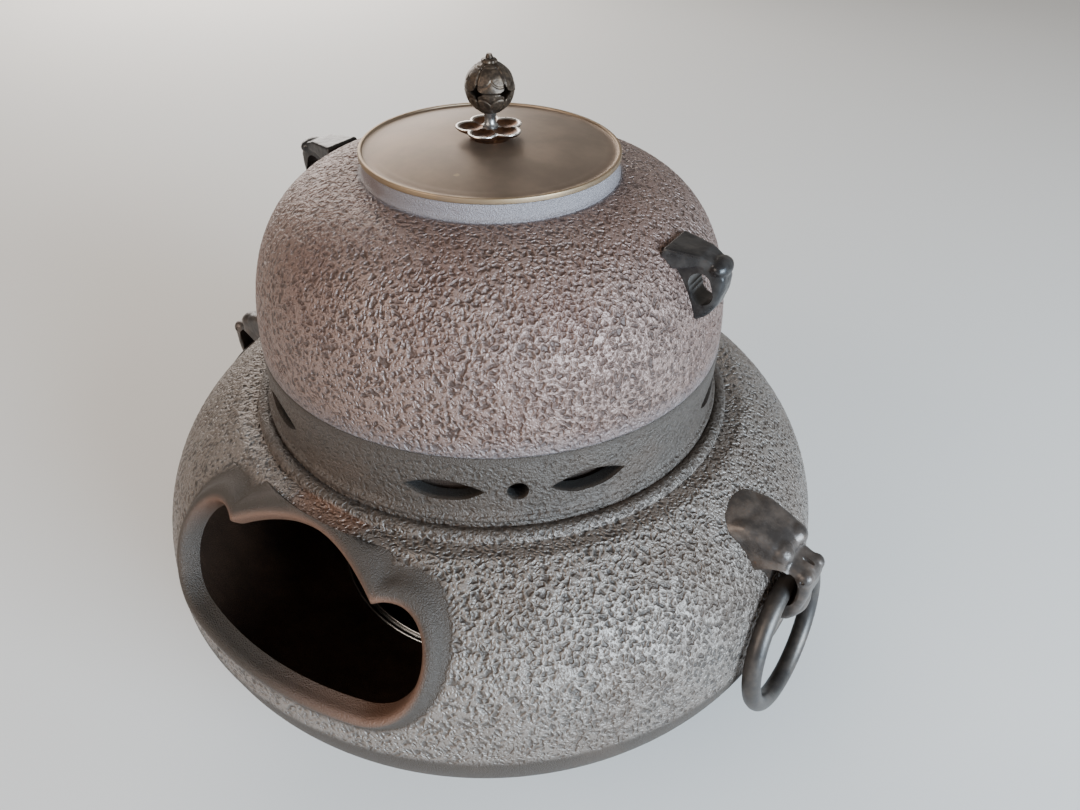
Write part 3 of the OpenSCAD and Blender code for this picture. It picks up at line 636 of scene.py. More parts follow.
class KETTLE_OT_brazier(bpy.types.Operator):
    """Turn, crinkle and pierce the two castings of the brazier"""
    bl_idname = "kettle.brazier"
    bl_label = "Brazier"

    def execute(self, context):
        sizes = context.scene.kettle_brazier
        upper = lathe("brazier_upper", brazier_profile(), sizes.around)
        mark(upper, "skin", skin_here)
        mark(upper, "soot", soot_here)
        wrinkled(upper, sizes.crinkle, sizes.crinkle_height, "skin")
        cutters = [prism("slot", window_outline(0.2), 112, 200, flat_front)]
        for vent in (-119, -40.5, 40.5, 119):
            cutters.append(prism("slot", arc(0, 0, 4.75, 0, 345, 23), 100, 130, neck_place(vent)))
            cutters += [prism("slot", lens(35.6, 11.3), 100, 130, neck_place(vent + side)) for side in (-15.8, 15.8)]
        cutters.append(prism("slot", lens(35.6, 11.3), 100, 130, neck_place(180)))
        for cutter in cutters:
            cut(upper, cutter)
        outlines = [window_outline(u) for u, _ in LIP_SECTION]
        rows = [[on_shell(*outlines[k][i], LIP_SECTION[k][1]) for k in range(len(LIP_SECTION))]
                for i in range(len(outlines[0]))]
        lip = net("lip", rows)
        cut(upper, lip, "UNION")
        mark(upper, "rust", rust_here)
        softened(upper, 50)

        lower_r = BELLY_R - PARTING_STEP
        outer = [(r, 2 * BELLY_H - h) for r, h in quadrant(
            HEARTH_FLAT_R, BELLY_H, lower_r - HEARTH_FLAT_R, HEARTH_DROP, 2, math.radians(84), 0, 40)]
        inner = [(r, 2 * BELLY_H - h) for r, h in quadrant(
            HEARTH_FLAT_R, BELLY_H, lower_r - HEARTH_FLAT_R - SHELL_WALL, HEARTH_DROP - SHELL_WALL, 2,
            0, math.radians(84), 24)]
        outer[-1] = (lower_r, BELLY_H - 0.8)
        profile = ([(0, HEARTH_H), (HEARTH_FLAT_R, HEARTH_H)] + outer + [(lower_r - 0.8, BELLY_H)]
                   + inner + [(HEARTH_FLAT_R, HEARTH_H + SHELL_WALL), (0, HEARTH_H + SHELL_WALL)])
        lower = lathe("brazier_lower", profile, 360)
        mark(lower, "soot", lambda p: 1.0 if math.hypot(p.x, p.y) < lower_r - 4 and p.z > HEARTH_H + 3
             and (math.hypot(p.x, p.y) - HEARTH_FLAT_R) ** 2 / (lower_r - 64) ** 2
             + (p.z - BELLY_H) ** 2 / (HEARTH_DROP - 3) ** 2 < 1 or abs(p.z - HEARTH_H - SHELL_WALL) < 0.1 else 0.0)
        for name in ("skin", "rust"):
            mark(lower, name, lambda p: 0.0)
        softened(lower)
        # The brazier's skin gets the painted near-black shade inside its neck.
        material = cast_skin("brazier_skin", sizes.dark, sizes.light, (0.10, 0.066, 0.046),
                             (0.21, 0.11, 0.062), sizes.bare, 330.0, neck_painted_shade=1.0)
        for piece in (upper, lower):
            dress(piece, material)
            place_on(piece, "brazier", "brazier_iron", "brazier_body")
        return {"FINISHED"}


# ------------------------------------------------------------ lugs and rings

def shell_cutter(name):
    """The brazier's outside as a solid, to shape the back of a lug."""
    profile = [(0, HEARTH_H)] + [(HEARTH_FLAT_R, HEARTH_H)]
    profile += [(r, 2 * BELLY_H - h) for r, h in quadrant(
        HEARTH_FLAT_R, BELLY_H, BELLY_R - PARTING_STEP - HEARTH_FLAT_R, HEARTH_DROP, 2, math.radians(84), 0, 16)]
    profile += quadrant(SHOULDER_CORE, BELLY_H, BELLY_R - SHOULDER_CORE, SHOULDER_RISE, SHOULDER_POWER,
                        0, SHOULDER_TOP, 40) + [(0, RIDGE_H)]
    return lathe(name, profile, 240)


def kettle_cutter(name):
    profile = [(0, SEAM_H)] + quadrant(KETTLE_CORE, KETTLE_BELLY_H, NECK_R - KETTLE_CORE,
                                       KETTLE_TOP - KETTLE_BELLY_H, KETTLE_POWER,
                                       math.radians(6), math.radians(86), 40) + [(0, KETTLE_TOP)]
    return lathe(name, profile, 200)


def slab(outline, width, bevel, narrow=1.0):
    """A side outline in the X-Z plane, as wide as asked along Y at its inner end, with rounded edges."""
    near, far = min(u for u, _ in outline), max(u for u, _ in outline)

    def place(u, v, w):
        return (u, w * (1 + (narrow - 1) * (u - near) / (far - near)), v)
    part = prism("slab", outline, -width / 2, width / 2, place)
    return modify(part, "BEVEL", width=bevel * MM, segments=3, limit_method="ANGLE", angle_limit=math.radians(25))


def fused(name, parts, voxel, passes):
    """Joins lumps into one skin, of cells voxel metres wide, and smooths it."""
    piece = joined(name, parts)
    modify(piece, "REMESH", mode="VOXEL", voxel_size=voxel)
    modify(piece, "SMOOTH", factor=0.5, iterations=passes)
    return piece


class LugSizes(bpy.types.PropertyGroup):
    voxel: length("Fineness", "Size of the finest shape on a lug", 0.62)
    dark: colour("Iron", "Waxed iron of lugs and rings", (0.050, 0.042, 0.038))
    rust: colour("Rust", "Rust brown on the lugs", (0.15, 0.075, 0.045))


class KETTLE_OT_brazier_lugs(bpy.types.Operator):
    """Model the animal-head lugs that carry the rings"""
    bl_idname = "kettle.brazier_lugs"
    bl_label = "Brazier lugs"

    def execute(self, context):
        sizes = context.scene.kettle_lugs
        e, x, n = EYE_H, EYE_X, SNOUT_X
        jaw = e - 18.3
        head = slab([(146, e + 26), (150, e + 32.5), (x - 22, e + 34.0), (x - 8, e + 30.0), (x - 2, e + 26.5),
                     (x + 0.6, e + 20), (x - 1, e + 10), (x - 4, e - 2), (160, e - 4), (150, e + 20)], 31, 5, 0.82)
        snout = slab([(x - 12, e + 22), (x + 1, e + 20), (x + 6, e + 18.6), (n - 2.6, e + 16.6), (n - 0.8, e + 12),
                      (n - 1.0, e + 3), (n - 2.0, e - 4), (n - 3.2, e - 11), (n - 6, e - 16), (x + 1, jaw),
                      (x - 6, jaw + 0.6), (164, e - 16), (164, e)], 19, 4.5)
        brow = [lump("ball", (x - 4.4, side * 7.6, e + 24.4), (12, 12, 9.5), (0, 28, 0)) for side in (-1, 1)]
        cheeks = [lump("ball", (x - 9, side * 8.6, e + 15), (24, 12, 17), (0, 25, 0)) for side in (-1, 1)]
        nose = [lump("ball", (n - 7.6, 0, e + 12.5), (14.6, 20, 13.5)),
                lump("ball", (n - 4.9, 6.4, e + 14.2), (8.6, 8.6, 8.6)),
                lump("ball", (n - 4.9, -6.4, e + 14.2), (8.6, 8.6, 8.6)),
                lump("ball", (n - 5.6, 0, e - 7), (9.6, 18.4, 15))]
        root = [lump("ball", (151, 0, e + 27), (36, 33, 16), (0, 8, 0))]
        pad = slab([(163, e + 12), (x - 5.6, e + 12), (x - 5.15, e), (x - 4.2, e - 8.5), (x - 5.6, e - 10.6),
                    (163, e - 10.6)], 28, 1)
        right = fused("brazier_lug_right_face", [head, snout, pad, *root, *brow, *cheeks, *nose], sizes.voxel, 12)
        roughened(right, 7.0, 0.45)
        for side in (-1, 1):
            cut(right, rod((x, side * 10, e), (x, side * 40, e), 10.4))
            cut(right, lump("ball", (x - 2.0, side * 15.6, e + 3.4), (27, 19, 30), (0, 12, 0)))
            cut(right, lump("ball", (n - 4.6, side * 10.6, e + 14.4), (2.4, 2.6, 2.2)))
        eye = fused("eye", [rod((x, -30, e), (x, 30, e), EYE_D / 2), rod((x, -30, e + EYE_RISE),
                    (x, 30, e + EYE_RISE), EYE_D / 2), lump("box", (x, 0, e + EYE_RISE / 2), (EYE_D, 60, EYE_RISE))],
                    0.7 * MM, 2)
        cut(right, eye)
        nick = lump("ball", (n - 6.4, 0, e + 19.6), (7, 2.4, 5))
        cut(right, nick)
        cut(right, shell_cutter("shell"))
        turned(right, LUG_TURN)
        material = worn_metal("lug_iron", sizes.dark, (0.112, 0.088, 0.073), sizes.rust, 0.45, 0.36, 95.0, 1.0, 520.0)
        softened(right, 60)
        left = mirrored(right, "brazier_lug_left_face")
        softened(left, 60)
        for piece, node in ((right, "brazier_lug_right"), (left, "brazier_lug_left")):
            dress(piece, material)
            place_on(piece, "brazier", "lug_iron", node)
        return {"FINISHED"}


class KETTLE_OT_rings(bpy.types.Operator):
    """Bend the open rings and hang them in the lugs"""
    bl_idname = "kettle.rings"
    bl_label = "Rings"

    def execute(self, context):
        sizes = context.scene.kettle_lugs
        deselect()
        bpy.ops.mesh.primitive_circle_add(vertices=40, radius=RING_BAR_R * 0.985 * MM, rotation=(math.pi / 2, 0, 0),
                                          location=(RING_R * MM, 0, 0))
        right = bpy.context.object
        right.name = "ring_right_bar"
        settle(right)
        edit(right)
        bpy.ops.mesh.spin(steps=150, angle=-math.radians(360 - RING_GAP), center=(0, 0, 0), axis=(0, 0, 1))
        bpy.ops.mesh.select_all(action="DESELECT")
        bpy.ops.mesh.select_mode(type="EDGE")
        bpy.ops.mesh.select_non_manifold()
        bpy.ops.mesh.edge_face_add()
        bpy.ops.mesh.inset(thickness=0.5 * MM)
        done()
        clean(right)
        roughened(right, 9.0, 0.12)
        turn = (Matrix.Translation(Vector((EYE_X, 0, EYE_H)) * MM)
                @ Matrix.Rotation(math.pi / 2 - RING_LEAN, 4, "Y")
                @ Matrix.Translation(Vector((RING_R, 0, 0)) * MM)
                @ Matrix.Rotation(math.radians(180 - GAP_START), 4, "Z"))
        right.matrix_world = Matrix.Rotation(LUG_TURN, 4, "Z") @ turn
        settle(right)
        left = mirrored(right, "ring_left_bar")
        material = worn_metal("ring_iron", (0.045, 0.040, 0.038), (0.085, 0.072, 0.062), (0.16, 0.11, 0.08),
                              0.6, 0.40, 90.0, 0.35, 700.0)
        for piece, body in ((right, "ring_right"), (left, "ring_left")):
            softened(piece, 40)
            dress(piece, material)
            place_on(piece, body, "ring_iron", body)
        return {"FINISHED"}


# ------------------------------------------------------------ kettle

class KettleSizes(bpy.types.PropertyGroup):
    crinkle: length("Crinkle", "Spacing of the skin's crinkles", 2.3)
    crinkle_height: length("Crinkle height", "Height of the crinkles", 0.36)
    # Valleys and ridges: besides the iron's own tone, these colours carry painted shade in the valleys and painted
    # highlight on the ridges.
    dark: colour("Valleys", "Colour in the skin's valleys", (0.045, 0.026, 0.020))
    light: colour("Ridges", "Colour on the skin's ridges", (0.26, 0.172, 0.142))
    collar: colour("Collar", "Colour of the mouth collar", (0.30, 0.265, 0.27))


def kettle_skin_here(p):
    r = math.hypot(p.x, p.y)
    if p.z < SEAM_H or r < COLLAR_R + 1 or r < kettle_r(p.z) - 2:
        return 0.0
    return smooth(p.z, SEAM_H + 0.3, SEAM_H + 1.5) * smooth(r, COLLAR_R + 1, COLLAR_R + 3)


class KETTLE_OT_kettle(bpy.types.Operator):
    """Turn and crinkle the kettle"""
    bl_idname = "kettle.kettle"
    bl_label = "Kettle"

    def execute(self, context):
        sizes = context.scene.kettle_body
        rise = KETTLE_TOP - KETTLE_BELLY_H
        wall = KETTLE_WALL
        bowl = [(r, 2 * SEAM_H - h) for r, h in quadrant(0, SEAM_H, SPIGOT_R, BOWL_DROP, BOWL_POWER,
                                                          math.pi / 2, math.radians(8), 18)]
        seat = [(SPIGOT_R, SEAM_H), (NECK_R - 0.9, SEAM_H), (NECK_R - 0.2, SEAM_H + 0.4), (NECK_R, SEAM_H + 1.0)]
        outer = resample(quadrant(KETTLE_CORE, KETTLE_BELLY_H, NECK_R - KETTLE_CORE, rise, KETTLE_POWER,
                                  math.radians(6), math.radians(86), 84), 2.2)
        collar = [(COLLAR_R + 1.2, KETTLE_TOP + 0.5), (COLLAR_R + 0.3, KETTLE_TOP + 1.2), (COLLAR_R, KETTLE_TOP + 2.4),
                  (COLLAR_R, KETTLE_TOP + 4.5), (COLLAR_R - 0.1, RIM_H - 0.6), (COLLAR_R - 0.6, RIM_H),
                  (MOUTH_R + 0.4, RIM_H), (MOUTH_R, RIM_H - 0.4), (MOUTH_R, KETTLE_TOP - wall + 0.5)]
        inner = quadrant(KETTLE_CORE, KETTLE_BELLY_H, NECK_R - KETTLE_CORE - wall, rise - wall, KETTLE_POWER,
                         math.radians(84), math.radians(6), 14)
        inside = [(r, 2 * SEAM_H - h) for r, h in quadrant(0, SEAM_H, SPIGOT_R - wall, BOWL_DROP - wall, BOWL_POWER,
                                                            math.radians(4), math.pi / 2, 12)]
        piece = lathe("kettle_casting", bowl + seat + outer + collar + inner + inside, 620)
        mark(piece, "skin", kettle_skin_here)
        mark(piece, "soot", lambda p: 1.0 if p.z < SEAM_H - 1 or math.hypot(p.x, p.y) < MOUTH_R + 1
             or (p.z < KETTLE_TOP - 2 and math.hypot(p.x, p.y) < kettle_r(p.z) - 2.5) else 0.0)
        wrinkled(piece, sizes.crinkle, sizes.crinkle_height, "skin")
        softened(piece, 50)
        dress(piece, cast_skin("kettle_skin", sizes.dark, sizes.light, (0.14, 0.072, 0.056), (0.075, 0.045, 0.03),
                               sizes.collar, 350.0))
        place_on(piece, "kettle", "kettle_iron", "kettle_body")
        return {"FINISHED"}


class KETTLE_OT_kettle_lugs(bpy.types.Operator):
    """Model the lugs cast into the kettle's wall"""
    bl_idname = "kettle.kettle_lugs"
    bl_label = "Kettle lugs"

    def execute(self, context):
        sizes = context.scene.kettle_lugs
        x, e = LUG_EYE_X, LUG_EYE_H
        brow = slab([(x - 19, e + 10.6), (x - 17.2, e + 16), (x - 2, e + 15.2), (x + 4, e + 12.6), (x + 4.4, e + 9.6),
                     (x - 3, e + 9.6), (x - 15, e + 6)], 22.5, 0.9, 0.5)
        trunk = slab([(x - 15, e + 10), (x, e + 12.4), (x + 7, e + 11.4), (x + 9.6, e + 6), (x + 9.2, e),
                      (x + 7.4, e - 7), (x + 3.6, e - 13), (x - 1.5, e - 17), (x - 7, e - 18), (x - 12, e - 10)],
                     14.5, 3.2, 0.8)
        shape = [lump("ball", (x + 5.4, 0, e + 10), (9.4, 14.5, 7.6), (0, 20, 0))]
        right = fused("kettle_lug_right_face", [brow, trunk, *shape], sizes.voxel * 0.75, 6)
        roughened(right, 4.0, 0.3)
        for low in (-2.2, 0, 2.2):
            cut(right, rod((x - 0.7 * low / 2, -20, e + low), (x - 0.7 * low / 2, 20, e + low), 5.0))
        cut(right, kettle_cutter("kettle_outside"))
        softened(right, 60)
        material = worn_metal("kettle_lug_iron", (0.018, 0.016, 0.016), (0.050, 0.045, 0.042), (0.10, 0.06, 0.045),
                              0.4, 0.30, 110.0, 0.5, 480.0)
        left = mirrored(right, "kettle_lug_left_face")
        softened(left, 60)
        for piece, node in ((right, "kettle_lug_right"), (left, "kettle_lug_left")):
            dress(piece, material)
            place_on(piece, "kettle", "lug_iron", node)
        return {"FINISHED"}


# ------------------------------------------------------------ lid and knob

class LidSizes(bpy.types.PropertyGroup):
    bronze_dark: colour("Bronze", "Dark patina of the lid", (0.190, 0.142, 0.106))
    bronze_light: colour("Bronze, lighter", "Lighter patches of the lid", (0.280, 0.208, 0.154))
    edge: colour("Worn edge", "Golden wear on edges", (0.34, 0.235, 0.135))


def lid_bronze(sizes):
    """Satin bronze, turned, golden along the lip, with one small worn spot."""
    material, shader, here = new_material("lid_bronze")
    x, y, _ = here.parts()
    patch = here.noise(26.0, 4.0, 0.6)
    grain = here.noise(1500.0, 2.0)
    base = patch.step(0.35, 0.7).blend(rgb(sizes.bronze_dark), rgb(sizes.bronze_light))
    lip = x.hypot(y).step((LID_R - 3) * MM, (LID_R - 0.8) * MM) * (here.noise(120.0, 3.0).step(0.3, 0.6) * 0.5 + 0.5)
    base = (lip * 0.8).blend(base, rgb(sizes.edge))
    spot = 1 - ((x - 0.0106).hypot(y + 0.0396) + here.noise(420.0, 3.0) * 0.004 - 0.002).step(0.0004, 0.0016)
    base = (spot * 0.6).blend(base, rgb((0.40, 0.32, 0.20)))
    plug(shader, "Base Color", base)
    plug(shader, "Roughness", patch * 0.10 + grain * 0.06 + 0.43 - lip * 0.08)
    plug(shader, "Metallic", 0.85)
    plug(shader, "Normal", here.node("ShaderNodeBump", {}, {"Strength": 0.08, "Distance": 0.0001,
                                                            "Height": grain + patch}))
    return material


class KETTLE_OT_lid(bpy.types.Operator):
    """Turn the lid, and give the ring that centres it the lid's bronze"""
    bl_idname = "kettle.lid"
    bl_label = "Lid"

    def execute(self, context):
        sizes = context.scene.kettle_lid
        top, lip = RIM_H + 1.8, RIM_H + 2.6
        channel = LID_R - 1.9
        dome_r = channel - 4
        edge = [(0, RIM_H + 3.7), (20, RIM_H + 3.2), (36, RIM_H + 1.9), (dome_r - 8, RIM_H), (LID_R - 0.5, RIM_H)]
        edge += arc(LID_R - 0.5, RIM_H + 0.5, 0.5, -90, 0, 4)[1:]
        edge += arc(LID_R - 0.6, lip - 0.6, 0.6, 0, 90, 6)
        edge += arc(channel + 0.7, lip - 0.55, 0.55, 90, 180, 5)
        edge += [(channel, top + 0.05), (channel - 0.5, top - 0.15), (channel - 1.6, top - 0.25),
                 (channel - 2.9, top - 0.15), (dome_r, top + 0.15)]
        crown = [(dome_r - (dome_r - 10) * i / 36, 0) for i in range(1, 37)]
        crown = [(r, top + 4.2 * (1 - ((r - 10) / (dome_r - 10)) ** 2)) for r, _ in crown]
        crown = [(r, h if r < dome_r - 3 else max(h, top + 0.2)) for r, h in crown]
        piece = lathe("lid_disc", edge + crown + [(0, LID_TOP)], 240)
        softened(piece, 30)
        material = lid_bronze(sizes)
        dress(piece, material)
        place_on(piece, "lid", "lid_bronze", "lid_plate")
        dress(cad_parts["lid_locating_ring"], material)
        return {"FINISHED"}


PETAL_TURN = math.radians(15 - 90)
BALL_TURN = math.radians(3 - 90)
PETAL_A = FULL_TURN / 5
PETAL_PITCH, PETAL_R = 15.7 * 0.56, 15.7 * 0.44


def petal_shape(angle):
    """Outline radius of the five-petalled flower at an angle."""
    off = (angle - PETAL_TURN + PETAL_A / 2) % PETAL_A - PETAL_A / 2
    return PETAL_PITCH * math.cos(off) + math.sqrt(max(0.0, PETAL_R ** 2 - (PETAL_PITCH * math.sin(off)) ** 2))


class KETTLE_OT_knob(bpy.types.Operator):
    """Shape the flower seat and the pierced ball with its petals"""
    bl_idname = "kettle.knob"
    bl_label = "Knob"

    def flower(self):
        """A round disc, pulled into five petals with a dish in each."""
        radii = [0.5 * i for i in range(1, 32)]
        profile = [(0, LID_TOP), (9.0, LID_TOP), (9.6, LID_TOP + 0.9), (11.5, LID_TOP + 2.2), (14.6, SEAT_TOP - 1.6),
                   (15.4, SEAT_TOP - 0.9), (15.7, SEAT_TOP - 0.4)]
        profile += [(r, SEAT_TOP) for r in reversed(radii)] + [(0, SEAT_TOP)]
        seat = lathe("knob_flower", profile, 200)
        for vertex in seat.data.vertices:
            p = vertex.co / MM
            r, angle = math.hypot(p.x, p.y), math.atan2(p.y, p.x)
            pull = smooth(r, 4, 15) * (1 if p.z > LID_TOP + 1.5 else 0.35)
            r *= 1 + (petal_shape(angle) / 15.7 - 1) * pull
            h = p.z
            if p.z > SEAT_TOP - 0.2:
                off = (angle - PETAL_TURN + PETAL_A / 2) % PETAL_A - PETAL_A / 2
                d = math.hypot(r * math.cos(off) - PETAL_PITCH * 0.98, r * math.sin(off))
                inner = PETAL_R - 1.15
                if d < inner:
                    h -= 2.1 * (1 - (d / inner) ** 2.6)
                h -= 0.5 * smooth(r, 4.5, 1.5)
            vertex.co = Vector((r * math.cos(angle), r * math.sin(angle), h)) * MM
        return softened(clean(seat), 40)

    def ball(self):
        """A hollow ball whose petals are outlined by grooves and meet at star-shaped holes."""
        deselect()
        bpy.ops.mesh.primitive_uv_sphere_add(segments=240, ring_count=120, radius=(BALL_R - 0.05) * MM)
        outside = bpy.context.object
        outside.name = "knob_ball"
        for vertex in outside.data.vertices:
            p = vertex.co / MM
            lon, lat = math.atan2(p.y, p.x), math.asin(max(-1, min(1, p.z / p.length)))
            off = abs((lon - BALL_TURN + PETAL_A / 2) % PETAL_A - PETAL_A / 2)
            side = off * BALL_R * math.cos(lat)
            star = math.hypot(BALL_R * (off - math.radians(18)), BALL_R * (abs(lat) - math.radians(20.5)))
            line = min(side * 0.9, BALL_R * abs(lat) * (1.2 + off), 9)
            petal = abs(math.hypot(side - 2.2, BALL_R * (abs(lat) - 0.62)) - 4.3)
            groove = -0.40 * (1 - smooth(line, 0.12, 0.45)) + 0.12 * smooth(line, 0.45, 0.8) * (1 - smooth(line, 1.0, 1.7))
            groove -= 0.30 * (1 - smooth(petal, 0.2, 0.6)) + 0.05 * math.sin(star * 1.4)
            vertex.co = vertex.co * (1 + groove / BALL_R) + Vector((0, 0, BALL_H)) * MM
        bpy.ops.mesh.primitive_uv_sphere_add(segments=64, ring_count=32, radius=(BALL_R - 1.0) * MM,
                                             location=(0, 0, BALL_H * MM))
        cut(outside, settle(bpy.context.object))
        hole = []
        tip, waist = 3.7, 1.75
        for quarter in range(4):
            for i in range(8):
                t = math.radians(i / 8 * 90)
                bend = tip - (tip - waist) * math.sin(2 * t) ** 0.8
                a = t + quarter * math.pi / 2
                hole.append((bend * math.cos(a), bend * math.sin(a)))
        for i in range(5):
            a = BALL_TURN + i * PETAL_A

            def place(u, v, w, a=a):
                return (w * math.cos(a) - u * math.sin(a), w * math.sin(a) + u * math.cos(a), BALL_H + v)
            cut(outside, prism("star", hole, 4, 14, place))
        return softened(outside, 40)

    def execute(self, context):
        sizes = context.scene.kettle_lid
        bronze = worn_metal("knob_bronze", (0.042, 0.030, 0.022), (0.102, 0.072, 0.050), sizes.edge,
                            0.75, 0.42, 420.0, 0.6, 1100.0)
        seat = self.flower()
        seat_metal, shader, here = new_material("knob_seat_bronze")
        rim = here.parts()[2].step((SEAT_TOP - 0.55) * MM, (SEAT_TOP - 0.1) * MM)
        dish = here.noise(300.0, 3.0).step(0.35, 0.7).blend(rgb((0.07, 0.032, 0.018)), rgb((0.16, 0.075, 0.035)))
        plug(shader, "Base Color", rim.blend(dish, rgb((0.50, 0.46, 0.42))))
        plug(shader, "Roughness", 0.34 - rim * 0.12)
        plug(shader, "Metallic", 0.9)
        dress(seat, seat_metal)
        place_on(seat, "lid", "knob_bronze", "knob_seat")
        ball = self.ball()
        dress(ball, bronze)
        place_on(ball, "lid", "knob_bronze", "knob_lower_shell", "knob_upper_shell")
        stem = lathe("knob_stem_turned", [(1.35, SEAT_TOP - 1.2), (3.5, SEAT_TOP - 1.2), (3.5, SEAT_TOP + 0.6),
                                          (2.9, SEAT_TOP + 1.1), (2.5, SEAT_TOP + 2.2), (2.45, SEAT_TOP + 4),
                                          (2.9, SEAT_TOP + 5.4), (3.1, SEAT_TOP + 6.2), (1.35, SEAT_TOP + 6.0),
                                          (1.35, SEAT_TOP - 1.2)], 48)
        dress(softened(stem, 40), worn_metal("stem_metal", (0.20, 0.19, 0.18), (0.38, 0.36, 0.34),
                                             (0.5, 0.48, 0.45), 0.9, 0.3, 300.0))
        place_on(stem, "lid", "knob_bronze", "knob_stem")
        top = BALL_H + BALL_R
        washer = lathe("knob_top_scallop", [(1.35, top - 0.9), (3.0, top - 0.9), (3.6, top - 0.3), (3.55, top + 0.5),
                                            (2.9, top + 1.0), (1.35, top + 1.2), (1.35, top - 0.9)], 80)
        for vertex in washer.data.vertices:
            r, angle = math.hypot(vertex.co.x, vertex.co.y), math.atan2(vertex.co.y, vertex.co.x)
            pull = 1 - 0.10 * (1 - abs(math.sin(angle * 4))) * smooth(r / MM, 2, 3.2)
            vertex.co.x, vertex.co.y = r * pull * math.cos(angle), r * pull * math.sin(angle)
        dress(softened(washer, 40), bronze)
        place_on(washer, "lid", "knob_bronze", "knob_top_washer")
        for node in ("knob_pin", "knob_under_washer"):
            dress(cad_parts[node], bronze)
        return {"FINISHED"}


# ------------------------------------------------------------ pan, feet, fixings

class KETTLE_OT_fire_pan(bpy.types.Operator):
    """Turn the fire pan with its double rolled rim"""
    bl_idname = "kettle.fire_pan"
    bl_label = "Fire pan"

    def execute(self, context):
        low = HEARTH_H + SHELL_WALL
        top = low + 24
        profile = [(0, low), (55, low), (57, low + 0.6), (85.5, low + 20), (89, low + 21.2)]
        profile += arc(89.5, top - 2.4, 1.1, -90, 0, 3)[:-1] + [(91.2, top - 2.8)]
        profile += arc(93.5, top - 1.6, 1.6, -140, 150, 16)
        profile += [(91.4, top - 1.6)] + arc(89.5, top - 1.4, 1.2, 20, 160, 8)
        profile += [(87, top - 2.6), (84.6, low + 21.3), (56.4, low + 2.2), (54.2, low + 1.6), (0, low + 1.6)]
        piece = lathe("fire_pan_dish", profile, 200)
        softened(piece, 35)
        dress(piece, worn_metal("pan_steel", (0.42, 0.41, 0.40), (0.62, 0.61, 0.59), (0.5, 0.42, 0.34),
                                1.0, 0.24, 40.0, 0.1, 900.0))
        place_on(piece, "fire_pan", "pan_steel", "fire_pan")
        return {"FINISHED"}


class KETTLE_OT_fixings(bpy.types.Operator):
    """Give the feet, screws and washers their finish"""
    bl_idname = "kettle.fixings"
    bl_label = "Feet and fixings"

    def execute(self, context):
        sizes = context.scene.kettle_brazier
        iron = worn_metal("foot_iron", [c * 0.6 for c in sizes.bare], sizes.bare, (0.2, 0.12, 0.08),
                          0.35, 0.55, 60.0, 0.5, 500.0)
        screw = worn_metal("screw_iron", (0.07, 0.055, 0.045), (0.14, 0.10, 0.07), (0.2, 0.12, 0.08),
                           0.6, 0.5, 200.0, 0.4, 900.0)
        for node in ("foot_front_left", "foot_front_right", "foot_rear"):
            dress(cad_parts[node], iron)
        for node in ("lug_screws", "lug_washers"):
            dress(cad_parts[node], screw)
        return {"FINISHED"}


# ------------------------------------------------------------ stage

class StageSettings(bpy.types.PropertyGroup):
    floor: colour("Floor", "Colour of the floor", (0.78, 0.76, 0.73))
    key: bpy.props.FloatProperty(name="Key light", description="Power of the main light in watts",
                                 default=112.0, min=0.0, max=400.0, unit="POWER")


def lamp(name, power, colour, size, place, target=(0, 0, 0.17)):
    """A soft square light that faces the object."""
    deselect()
    bpy.ops.object.light_add(type="AREA", location=place)
    light = bpy.context.object
    light.name = name
    light.data.energy, light.data.color, light.data.size = power, colour, size
    light.rotation_euler = (Vector(target) - Vector(place)).to_track_quat("-Z", "Y").to_euler()


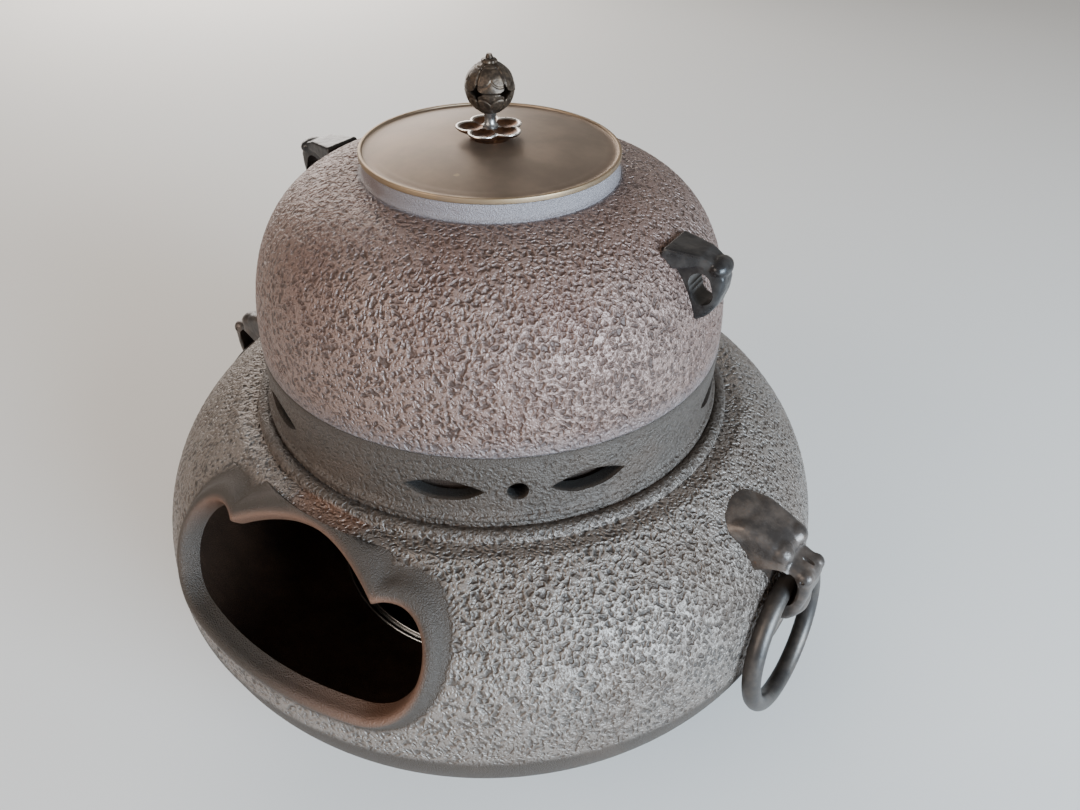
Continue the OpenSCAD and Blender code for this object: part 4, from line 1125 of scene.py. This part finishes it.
class KETTLE_OT_stage(bpy.types.Operator):
    """Lay the floor and set lights and camera"""
    bl_idname = "kettle.stage"
    bl_label = "Stage"

    def execute(self, context):
        settings = context.scene.kettle_stage
        deselect()
        bpy.ops.mesh.primitive_plane_add(size=12)
        floor = bpy.context.object
        floor.name = "floor"
        material, shader, here = new_material("floor")
        plug(shader, "Base Color", here.noise(3.0).blend(rgb(settings.floor), rgb([c * 0.97 for c in settings.floor])))
        plug(shader, "Roughness", 0.7)
        dress(floor, material)
        world = bpy.data.worlds.new("room")
        world.use_nodes = True
        world.node_tree.nodes["Background"].inputs[0].default_value = (1.0, 0.95, 0.88, 1)
        world.node_tree.nodes["Background"].inputs[1].default_value = 0.36
        context.scene.world = world
        lamp("window_light", settings.key, (0.64, 0.82, 1.0), 1.0, (1.85, -0.42, 0.62))
        lamp("wall_light", settings.key * 0.26, (1.0, 0.95, 0.90), 1.3, (-1.65, 1.2, 0.8))
        lamp("front_light", settings.key * 0.27, (1.0, 0.88, 0.78), 1.4, (-0.6, -1.9, 1.2))
        yaw, pitch, roll, side = 0.0686, 0.6609, 0.0251, math.radians(36)
        forward = Vector((math.sin(yaw) * math.cos(pitch), math.cos(yaw) * math.cos(pitch), -math.sin(pitch)))
        right = Vector((math.cos(yaw), -math.sin(yaw), 0))
        up = right.cross(forward)
        across = math.cos(roll) * right + math.sin(roll) * up
        upward = -math.sin(roll) * right + math.cos(roll) * up
        aim = Matrix((across, upward, -forward)).transposed().to_4x4()
        deselect()
        bpy.ops.object.camera_add()
        camera = bpy.context.object
        camera.matrix_world = (Matrix.Rotation(side, 4, "Z") @ Matrix.Translation((0, -0.36956, 0.4437)) @ aim)
        camera.data.sensor_width, camera.data.lens = 36.0, 27.6
        context.scene.camera = camera
        return {"FINISHED"}


class KETTLE_PT_panel(bpy.types.Panel):
    """Lists the pieces to build"""
    bl_label = "Kettle and brazier"
    bl_idname = "KETTLE_PT_panel"
    bl_space_type = "VIEW_3D"
    bl_region_type = "UI"
    bl_category = "Kettle"

    def draw(self, context):
        for group in ("kettle_brazier", "kettle_lugs", "kettle_body", "kettle_lid", "kettle_stage"):
            box = self.layout.box()
            settings = getattr(context.scene, group)
            for name in settings.__annotations__:
                box.prop(settings, name)
        for operator in OPERATORS:
            self.layout.operator(operator.bl_idname)


GROUPS = {"kettle_brazier": BrazierSizes, "kettle_lugs": LugSizes, "kettle_body": KettleSizes,
          "kettle_lid": LidSizes, "kettle_stage": StageSettings}
OPERATORS = (KETTLE_OT_stage, KETTLE_OT_brazier, KETTLE_OT_brazier_lugs, KETTLE_OT_rings, KETTLE_OT_kettle,
             KETTLE_OT_kettle_lugs, KETTLE_OT_lid, KETTLE_OT_knob, KETTLE_OT_fire_pan, KETTLE_OT_fixings)


def register():
    for item in (*GROUPS.values(), *OPERATORS, KETTLE_PT_panel):
        bpy.utils.register_class(item)
    for name, group in GROUPS.items():
        setattr(bpy.types.Scene, name, bpy.props.PointerProperty(type=group))


def unregister():
    for name in GROUPS:
        delattr(bpy.types.Scene, name)
    for item in reversed((*GROUPS.values(), *OPERATORS, KETTLE_PT_panel)):
        bpy.utils.unregister_class(item)


def main():
    register()
    bpy.ops.kettle.stage()
    bpy.ops.kettle.brazier()
    bpy.ops.kettle.brazier_lugs()
    bpy.ops.kettle.rings()
    bpy.ops.kettle.kettle()
    bpy.ops.kettle.kettle_lugs()
    bpy.ops.kettle.lid()
    bpy.ops.kettle.knob()
    bpy.ops.kettle.fire_pan()
    bpy.ops.kettle.fixings()


if __name__ == "__main__":
    main()
